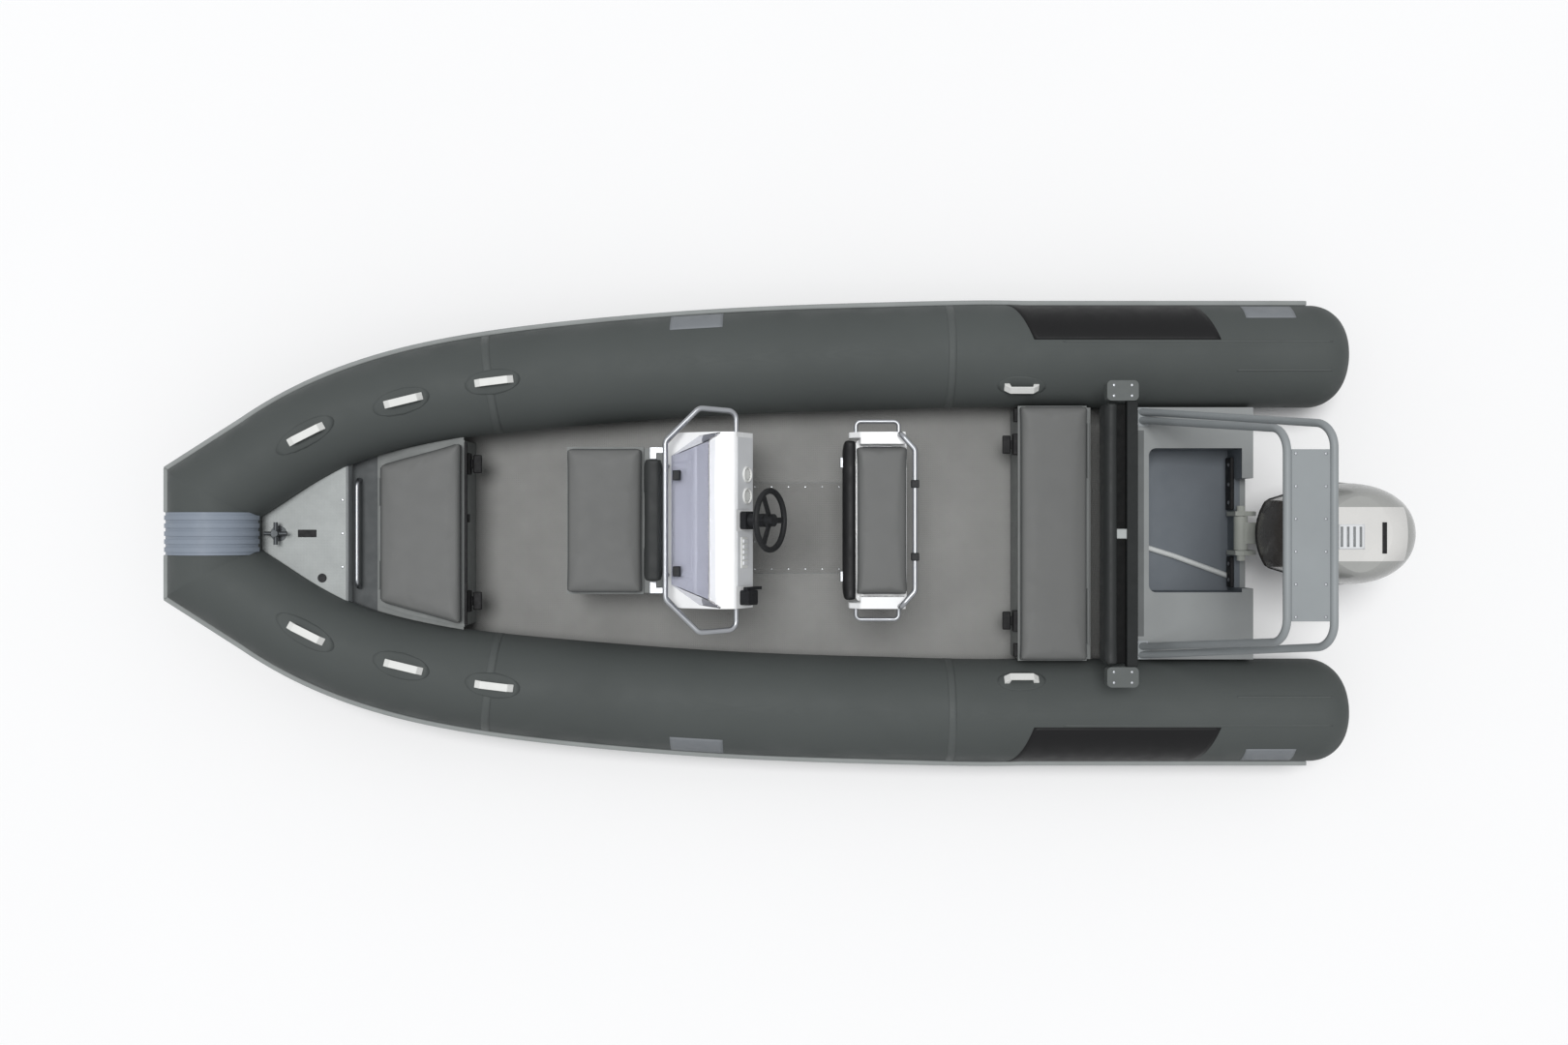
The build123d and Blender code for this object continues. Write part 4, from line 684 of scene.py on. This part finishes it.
for side, word in SIDES.items():
    grid_piece(f"strake_line_{word}", 120, 2,
               lambda u, v: insert_point(side, STRAKE_AFT_X + (STRAKE_FORE_X - STRAKE_AFT_X) * u, 2 * v - 1),
               black_rubber, INSERT_THICK)
    for angle, aft, fore in LONG_SEAMS:
        collar_patch(f"long_seam_{angle}_{word}", side, 40, 2,
                     lambda u, v: (aft + (fore - aft) * u, angle + SEAM_WIDE * v), seam_tape, TAPE_THICK)
print(len(SIDES) * (1 + len(LONG_SEAMS)), "strips along the collar")

# %% [markdown]
# ## Cushions
# A boat cushion is foam in a sewn cover: flat where it lies on its lid, crowned on top, and drawn in between its
# corners. A block with round edges could stand for it, but would look hard. So the plain solid is remeshed and blown
# up a little as cloth under pressure, and each point is held to nine millimetres of travel so the cushion keeps
# its measured size. A welt cord then runs round the upper seam.

# %% Stuffing a solid
SIM_FRAMES, PRESSURE = 18, 4.0
VOXEL, TRAVEL = 0.011, 0.009
# What lies this near to the side that the cushion rests on is pressed flat, a little inside that side
FLAT_REACH, FLAT_INSET = 0.004, 0.0006
WELT_R, WELT_STEP, WELT_AWAY = 0.0042, 0.03, 0.2


def stuffed(name, node, body, material, floor):
    """A stuffed copy of a plain solid; floor is the axis and side that it rests on, kept flat."""
    data = nodes[node].data.copy()
    made = bpy.data.objects.new(name, data)
    scene.collection.objects.link(made)
    weld = made.modifiers.new("weld", "WELD")
    weld.merge_threshold = WELD_GAP
    remesh = made.modifiers.new("remesh", "REMESH")
    remesh.voxel_size = VOXEL
    smooth = made.modifiers.new("smooth", "SMOOTH")
    smooth.iterations = 3
    flat = bpy.data.meshes.new_from_object(made.evaluated_get(bpy.context.evaluated_depsgraph_get()))
    made.modifiers.clear()
    made.data = flat
    rest = [v.co.copy() for v in flat.vertices]
    cloth = made.modifiers.new("cover", "CLOTH")
    cloth.settings.use_pressure = True
    cloth.settings.uniform_pressure_force = PRESSURE
    cloth.settings.effector_weights.gravity = 0.0
    cloth.settings.quality = 4
    cloth.point_cache.frame_start, cloth.point_cache.frame_end = 1, SIM_FRAMES
    for step in range(1, SIM_FRAMES + 1):
        scene.frame_set(step)
    blown = made.evaluated_get(bpy.context.evaluated_depsgraph_get()).data
    moved = [v.co.copy() for v in blown.vertices]
    made.modifiers.clear()
    scene.frame_set(1)
    for vertex, before, after in zip(flat.vertices, rest, moved):
        step = after - before
        if step.length > TRAVEL:
            step *= TRAVEL / step.length
        vertex.co = before + step
    axis, sign = floor
    low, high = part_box(node)
    edge = low[axis] if sign < 0 else high[axis]
    for vertex in flat.vertices:
        if (vertex.co[axis] - edge) * sign > -FLAT_REACH:
            vertex.co[axis] = edge - FLAT_INSET * sign
    flat.materials.clear()
    flat.materials.append(material)
    flat.shade_smooth()
    fine = made.modifiers.new("fine", "SUBSURF")
    fine.levels = fine.render_levels = 1
    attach(made, body)
    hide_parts(node)
    return made


def welt(name, cushion, outline, height, body):
    """A welt cord round a cushion: rays from outside the outline find the cover at that height."""
    tree = BVHTree.FromObject(cushion, bpy.context.evaluated_depsgraph_get())
    corners = [Vector(p) for p in outline]
    middle = sum(corners, Vector((0, 0))) / len(corners)
    points = []
    for here, there in zip(corners, corners[1:] + corners[:1]):
        count = max(4, int((there - here).length / WELT_STEP))
        for k in range(count):
            spot = here + (there - here) * k / count
            away = spot + (spot - middle).normalized() * WELT_AWAY
            start = Vector((away.x, away.y, height))
            hit = tree.ray_cast(start, (Vector((middle.x, middle.y, height)) - start).normalized())[0]
            if hit:
                points.append(hit)
    return round_bead(name, points, WELT_R, welt_cord, body)


def rectangle(node):
    """A node's footprint as four corners."""
    low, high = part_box(node)
    return [(low.x, low.y), (high.x, low.y), (high.x, high.y), (low.x, high.y)]


print("stuffing in", SIM_FRAMES, "frames")

# %% Seat cushions
# The side that a cushion rests on, as an axis and a sign
DOWN, AFT = (2, -1), (0, -1)
# Each row is a cushion: name, solid, body, finish, fill, flat side
CUSHIONS = (
    ("bow_seat", "bow_cushion", "bow_lid", grey_vinyl, 0.8, DOWN),
    ("bench_seat", "bench_cushion", "bench_lid", grey_vinyl, 0.8, DOWN),
    ("front_seat", "front_cushion", "front_seat_lid", grey_vinyl, 0.8, DOWN),
    ("helm_seat", "helm_cushion", "boat", grey_vinyl, 0.85, DOWN),
    ("helm_roll", "helm_bolster", "boat", black_vinyl, 0.9, AFT),
    ("bench_back", "bench_backrest", "boat", dark_vinyl, 0.85, AFT),
    ("front_back", "front_backrest", "boat", dark_vinyl, 0.85, AFT),
)
made_cushions = {}
for name, node, body, material, fill, floor in CUSHIONS:
    made_cushions[name] = stuffed(name, node, body, material, floor)
    print(name, len(made_cushions[name].data.polygons), "faces")

# %% Welt cords
WELT_DROP = 0.016
bow_low, bow_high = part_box("bow_cushion")
BOW_MID_X, BOW_MID_HALF, BOW_FORE_HALF = 2.05, 0.412, 0.372
bow_outline = [(bow_low.x, bow_low.y), (BOW_MID_X, -BOW_MID_HALF), (bow_high.x, -BOW_FORE_HALF),
               (bow_high.x, BOW_FORE_HALF), (BOW_MID_X, BOW_MID_HALF), (bow_low.x, bow_high.y)]
# Each row is a welt: name, cushion, outline, solid, body
WELTS = (
    ("bow_seat_welt", "bow_seat", bow_outline, "bow_cushion", "bow_lid"),
    ("bench_seat_welt", "bench_seat", rectangle("bench_cushion"), "bench_cushion", "bench_lid"),
    ("front_seat_welt", "front_seat", rectangle("front_cushion"), "front_cushion", "front_seat_lid"),
    ("helm_seat_welt", "helm_seat", rectangle("helm_cushion"), "helm_cushion", "boat"),
)
for name, cushion, outline, node, body in WELTS:
    welt(name, made_cushions[cushion], outline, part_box(node)[1].z - WELT_DROP, body)
print(len(WELTS), "welts")

# %% [markdown]
# ## Small fastenings
# Screw heads are what tell the eye how big a panel is. A bump could draw them, but from a low angle it stays flat,
# so low domed heads are turned one by one and joined into one piece for each panel.

# %% Screws
HEAD_R = 0.0075
HEAD_ROWS = ((HEAD_R, 0.0), (HEAD_R, 0.0012), (0.7 * HEAD_R, 0.0032), (0.3 * HEAD_R, 0.0034), (0.28 * HEAD_R, 0.0022))


def screws(name, places, axis=(0, 0, 1), scale=1.0):
    """Screw heads at several places, joined into one piece."""
    rows = [(r * scale, h * scale) for r, h in HEAD_ROWS]
    return joined(name, [turned(f"{name}_{i}", rows, p, axis, stainless, 12) for i, p in enumerate(places)])


def round_edge(low, high, inset, z, across, along):
    """Places round a rectangle's edge: so many across each end and along each side."""
    xs = [low.x + inset + (high.x - low.x - 2 * inset) * k / along for k in range(along + 1)]
    ys = [low.y + inset + (high.y - low.y - 2 * inset) * k / across for k in range(across + 1)]
    ends = [(x, y, z) for x in (xs[0], xs[-1]) for y in ys]
    return ends + [(x, y, z) for x in xs[1:-1] for y in (ys[0], ys[-1])]


hatch_low, hatch_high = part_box("deck_hatch")
screws("hatch_screws", round_edge(hatch_low, hatch_high, 0.022, hatch_high.z, 3, 6), scale=0.7)
plate_low, plate_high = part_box("arch_plate")
screws("arch_plate_screws", round_edge(plate_low, plate_high, 0.02, plate_high.z, 5, 1))
feet_low, feet_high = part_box("arch_feet")
FOOT_INSET, FOOT_OUTER, FOOT_INNER = 0.012, 0.014, 0.09
screws("arch_foot_screws", [(x, side * y, feet_high.z) for side in SIDES
                            for x in (feet_low.x + FOOT_INSET, feet_high.x - FOOT_INSET)
                            for y in (feet_high.y - FOOT_OUTER, feet_high.y - FOOT_INNER)])
ends_low, ends_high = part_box("backrest_ends")
END_INSET, END_SCREWS_Y = 0.035, (0.715, 0.77)
screws("backrest_end_screws", [(x, side * y, ends_high.z) for side in SIDES
                               for x in (ends_low.x + END_INSET, ends_high.x - END_INSET) for y in END_SCREWS_Y])
bow_deck_low, bow_deck_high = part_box("bow_deck")
BOW_INSET, BOW_SCREWS_Y = 0.02, (-0.36, -0.18, 0, 0.18, 0.36)
screws("bow_deck_screws", [(bow_deck_low.x + BOW_INSET, y, bow_deck_high.z) for y in BOW_SCREWS_Y])
print("screws on the hatch, the arch, the backrest and the bow plate")

# %% [markdown]
# ## The dash
# The steering wheel's joint says where the dash faces: its axis is square to the dash. Parts could be turned to the
# slope by eye, but a matrix made from that axis lays them flat on it: a grey fascia, two plain dials with even
# marks, and a panel of rocker switches.

# %% Fascia, dials and switches
wheel_joint = next(j for j in frame["joints"] if j["child"] == "steering_wheel")
dash_way = Vector(wheel_joint["axis"]).normalized()
wheel_spot = Vector(wheel_joint["pos_m"])
WHEEL_REACH = 0.150
dash_spot = wheel_spot - dash_way * WHEEL_REACH
dash_across = Vector((0, 1, 0))
dash_up = dash_way.cross(dash_across)
dash_turn = Matrix((dash_across, dash_up, dash_way)).transposed().to_4x4()
dash_turn.translation = dash_spot
DASH_RISE, DASH_THICK = 0.078, 0.004
# Each row is a half of the fascia, clear of the wheel's column: name, its two ends across
for name, start, end in (("dash_fascia_port", 0.055, 0.335), ("dash_fascia_starboard", -0.425, -0.055)):
    slab(name, (start, -DASH_RISE, 0.0), (end, DASH_RISE, DASH_THICK), dash_grey, edge=0.0015, turn=dash_turn)
DIAL_R, DIAL_UP, DIALS_ACROSS = 0.042, 0.018, (-0.125, -0.235)
MARKS, FIRST_MARK, MARK_STEP = 9, -120, 30
DIAL_ROWS = ((DIAL_R, 0.003), (DIAL_R, 0.010), (0.9 * DIAL_R, 0.013), (0.82 * DIAL_R, 0.010), (0.8 * DIAL_R, 0.007))
for i, across in enumerate(DIALS_ACROSS):
    centre = dash_turn @ Vector((across, DIAL_UP, 0))
    turned(f"dial_{i}", DIAL_ROWS, centre, dash_way, handle_rubber, segments=40)
    marks = []
    for k in range(MARKS):
        swing = Matrix.Rotation(radians(FIRST_MARK + MARK_STEP * k), 4, "Z")
        at = dash_turn @ Matrix.Translation((across, DIAL_UP, 0)) @ swing
        marks.append(slab(f"dial_mark_{i}_{k}", (-0.001, 0.024, 0.0066), (0.001, 0.031, 0.0078), black_moulding,
                          edge=0.0003, turn=at))
    joined(f"dial_marks_{i}", marks)
slab("switch_panel", (0.085, -0.045, 0.003), (0.245, 0.020, 0.009), handle_rubber, edge=0.003, turn=dash_turn)
ROCKERS, ROCKER_STEP = 5, 0.028
rockers = [slab(f"rocker_{k}", (0.097 + ROCKER_STEP * k, -0.034, 0.008), (0.116 + ROCKER_STEP * k, 0.008, 0.017),
                dash_grey, edge=0.003, turn=dash_turn) for k in range(ROCKERS)]
joined("rockers", rockers)
print("dash at", [round(v, 3) for v in dash_spot], "facing", [round(v, 3) for v in dash_way])

# %% [markdown]
# ## Clips on the windscreen, plates on the bolster, pads on the transom, pulls on the latches
# These are plain blocks with rounded edges, as such small mouldings are, and need no more than two corners each. The
# screen is held by two black clips that rays drop onto the pane. Two bright plates hold the roll ahead of the helm
# seat, and black pads with bolt heads face the transom inside the engine well. The bow plate has a liner
# in its slot and a drain cap, and the bow lid a seal along its aft edge. Each rubber latch has a pull to lift it
# by. The hose in the well gets its cover's thickness from a modifier.

# %% Small fittings
CLIP_X, CLIPS_Y, CLIP_LONG, CLIP_WIDE = 0.545, (-0.30, 0.19), 0.022, 0.026
for i, y in enumerate(CLIPS_Y):
    z = ray_tree("windscreen").ray_cast(Vector((CLIP_X, y, 2)), Vector((0, 0, -1)))[0].z
    slab(f"screen_clip_{i}", (CLIP_X - CLIP_LONG, y - CLIP_WIDE, z - 0.01),
         (CLIP_X + CLIP_LONG, y + CLIP_WIDE, z + 0.016), black_moulding, edge=0.005)
roll_low, roll_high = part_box("helm_bolster")
HINGES_Y, HINGE_HALF = (-0.371, 0.222), 0.028
for i, y in enumerate(HINGES_Y):
    slab(f"roll_hinge_{i}", (roll_high.x - 0.004, y - HINGE_HALF, roll_low.z + 0.02),
         (roll_high.x + 0.022, y + HINGE_HALF, roll_high.z - 0.045), stainless, edge=0.004)
well_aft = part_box("well_hose")[0].x
PAD_THICK, PAD_TOP, BOLT_Z, BOLTS_Y = 0.018, 0.312, 0.275, (-0.38, -0.27, -0.17, 0.17, 0.26)
# Each row is a pad: name, starboard and port ends, foot
for name, right, left, foot in (("transom_pad", -0.42, -0.13, 0.215), ("transom_pad_port", 0.13, 0.30, 0.235)):
    slab(name, (well_aft + 0.001, right, foot), (well_aft + PAD_THICK, left, PAD_TOP), black_rubber, edge=0.004)
screws("transom_bolts", [(well_aft + PAD_THICK, y, BOLT_Z) for y in BOLTS_Y], (1, 0, 0), scale=1.6)
SLOT_AFT_X, SLOT_FORE_X, SLOT_HALF = 2.512, 2.608, 0.019
slab("slot_liner", (SLOT_AFT_X, -SLOT_HALF, bow_deck_high.z - 0.011),
     (SLOT_FORE_X, SLOT_HALF, bow_deck_high.z - 0.002), black_rubber, edge=0.002)
DRAIN_X, DRAIN_Y = 2.479, 0.239
CAP_ROWS = ((0.024, 0.0), (0.024, 0.003), (0.020, 0.005), (0.012, 0.005), (0.011, 0.003))
turned("drain_cap", CAP_ROWS, (DRAIN_X, DRAIN_Y, bow_deck_high.z), (0, 0, 1), black_moulding)
lid_low, lid_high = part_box("bow_lid")
slab("bow_lid_seal", (lid_low.x - 0.014, lid_low.y + 0.012, lid_low.z + 0.001),
     (lid_low.x + 0.001, lid_high.y - 0.012, lid_high.z + 0.008), black_rubber, "bow_lid", edge=0.004)
PULL_Z, PULL_HALF, PULL_RISE, HOSE_COVER = 0.365, 0.05, 0.009, 0.005
# Each row is a locker's face: aft and fore ends of its latch pulls, places across
LATCH_FACES = ((1.660, 1.708, (-0.380, 0.372)), (-1.246, -1.200, (-0.487, 0.480)))
pulls = []
for aft, fore, places in LATCH_FACES:
    for y in places:
        pulls.append(slab(f"pull_{len(pulls)}", (aft, y - PULL_HALF, PULL_Z - PULL_RISE),
                          (fore, y + PULL_HALF, PULL_Z + PULL_RISE), black_rubber, edge=0.007))
joined("latch_pulls", pulls)
full = nodes["well_hose"].modifiers.new("full", "DISPLACE")
full.strength = HOSE_COVER
full.mid_level = 0.0
print("fittings: clips, hinges, pads, liner, drain cap, seal and", len(pulls), "pulls")

# %% [markdown]
# ## The outboard's cowl
# The hood's finish paints it in bands: grey sides, a white band on top that is partly its two-tone paint and partly
# a painted highlight, and a dark front that is painted shadow from the arch plate above. Intake, louvres and grip
# slot could be cut into it, but at this size they read as well as thin parts, which rays from above lay on it. Rays
# from the side find the line where hood and pan meet, and a soft black seal runs round it.

# %% Cowl trim


def on_cowl(x, y, lift):
    """A point on top of the hood."""
    hit = ray_tree("upper_cowl").ray_cast(Vector((x, y, 3)), Vector((0, 0, -1)))[0]
    return hit + Vector((0, 0, lift))


# Each row is a part on the hood: name, aft x, fore x, starboard y, port y, finish, thickness
HOOD_PARTS = (
    ("grip_slot", -3.043, -3.020, -0.060, 0.098, black_rubber, 0.002),
    ("air_intake", -2.930, -2.800, -0.050, 0.076, dash_grey, 0.006),
)
for name, aft, fore, right, left, material, thick in HOOD_PARTS:
    grid_piece(name, 8, 10, lambda u, v: on_cowl(aft + (fore - aft) * u, right + (left - right) * v,
                                                 thick / 2 + 0.0005), material, thick, "engine")
LOUVRES, LOUVRE_X, LOUVRE_STEP, LOUVRE_LONG = 4, -2.915, 0.032, 0.012
LOUVRE_Y, LOUVRE_WIDE, LOUVRE_LIFT = -0.038, 0.102, 0.0075
louvres = []
for k in range(LOUVRES):
    x = LOUVRE_X + LOUVRE_STEP * k
    made = grid_piece(f"louvre_{k}", 3, 8, lambda u, v: on_cowl(x + LOUVRE_LONG * u, LOUVRE_Y + LOUVRE_WIDE * v,
                                                                LOUVRE_LIFT), engine_grey, 0.003, "engine")
    bpy.context.view_layer.objects.active = made
    bpy.ops.object.modifier_apply(modifier="thickness")
    louvres.append(made)
joined("louvres", louvres)
SEAL_STEPS, SEAL_R, SEAL_LOOK = 96, 0.006, 0.004
seal_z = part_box("lower_cowl")[1].z
cowl_mid = (cowl_low + cowl_high) / 2
seal = []
for k in range(SEAL_STEPS):
    way = Vector((cos(2 * pi * k / SEAL_STEPS), sin(2 * pi * k / SEAL_STEPS), 0))
    start = Vector((cowl_mid.x, cowl_mid.y, seal_z + SEAL_LOOK)) + way * 2
    hit = ray_tree("upper_cowl").ray_cast(start, -way)[0]
    seal.append((hit.x, hit.y, seal_z))
round_bead("cowl_seal", seal, SEAL_R, black_rubber, "engine")
print("seal of", SEAL_STEPS, "points round the cowl")

# %% [markdown]
# ## Stage and light
# The boat floats, so the floor lies at the waterline and hides what would be under water. Light is soft: an even
# pale sky, and a wide sun from nearly overhead, which leaves the crest of each tube bright and its sides dark.
# Together they light a level white card to about one, so colours come out near to what was written. Floor and sky
# show white to the camera, in mirrors and through glass, but throw less light than that on the boat.

# %% Floor, sky and sun
REACH = 60.0
floor_mesh = bpy.data.meshes.new("floor")
corners = [(-REACH, -REACH, 0), (REACH, -REACH, 0), (REACH, REACH, 0), (-REACH, REACH, 0)]
floor_mesh.from_pydata(corners, [], [(0, 1, 2, 3)])
floor = bpy.data.objects.new("floor", floor_mesh)
scene.collection.objects.link(floor)
pale_floor = finish("pale_floor", (252, 252, 252), (0.8, 0.9), tone=0.005, patch=3.0, size=0.05, depth=0.0001)
floor_mesh.materials.append(pale_floor)


def shown(tree):
    """1 for rays that show a surface to the camera, in a mirror or through glass, and 0 for those that light it."""
    ray = tree.nodes.new("ShaderNodeLightPath").outputs
    return math_node(tree, "MAXIMUM", ray["Is Camera Ray"],
                     math_node(tree, "MAXIMUM", ray["Is Glossy Ray"], ray["Is Transmission Ray"]))


FLOOR_BOUNCE = (120, 120, 120)
floor_tree = pale_floor.node_tree
floor_colour = floor_tree.nodes["Principled BSDF"].inputs["Base Color"]
floor_mix = floor_tree.nodes.new("ShaderNodeMix")
floor_mix.data_type = "RGBA"
floor_mix.inputs[MIX_A].default_value = shade(*FLOOR_BOUNCE)
floor_tree.links.new(shown(floor_tree), floor_mix.inputs["Factor"])
floor_tree.links.new(floor_colour.links[0].from_socket, floor_mix.inputs[MIX_B])
floor_tree.links.new(floor_mix.outputs[MIX_RESULT], floor_colour)

SKY_LIGHT = 0.42
SUN_ENERGY, SUN_SPREAD, SUN_WAY = 1.9, 24, (-0.10, 0.14, -1.0)
world = bpy.data.worlds.new("sky")
world.use_nodes = True
sky = world.node_tree
sky.nodes["Background"].inputs["Color"].default_value = (0.97, 0.98, 1.0, 1.0)
strength = math_node(sky, "ADD", math_node(sky, "MULTIPLY", shown(sky), 1.0 - SKY_LIGHT), SKY_LIGHT)
sky.links.new(strength, sky.nodes["Background"].inputs["Strength"])
scene.world = world
sun_data = bpy.data.lights.new("sun", "SUN")
sun_data.energy = SUN_ENERGY
sun_data.angle = radians(SUN_SPREAD)
sun = bpy.data.objects.new("sun", sun_data)
sun.rotation_euler = Vector(SUN_WAY).to_track_quat("-Z", "Y").to_euler()
scene.collection.objects.link(sun)
scene.view_settings.view_transform = "Standard"
print("floor, sky and sun:", FLOOR_BOUNCE, SKY_LIGHT, SUN_ENERGY)
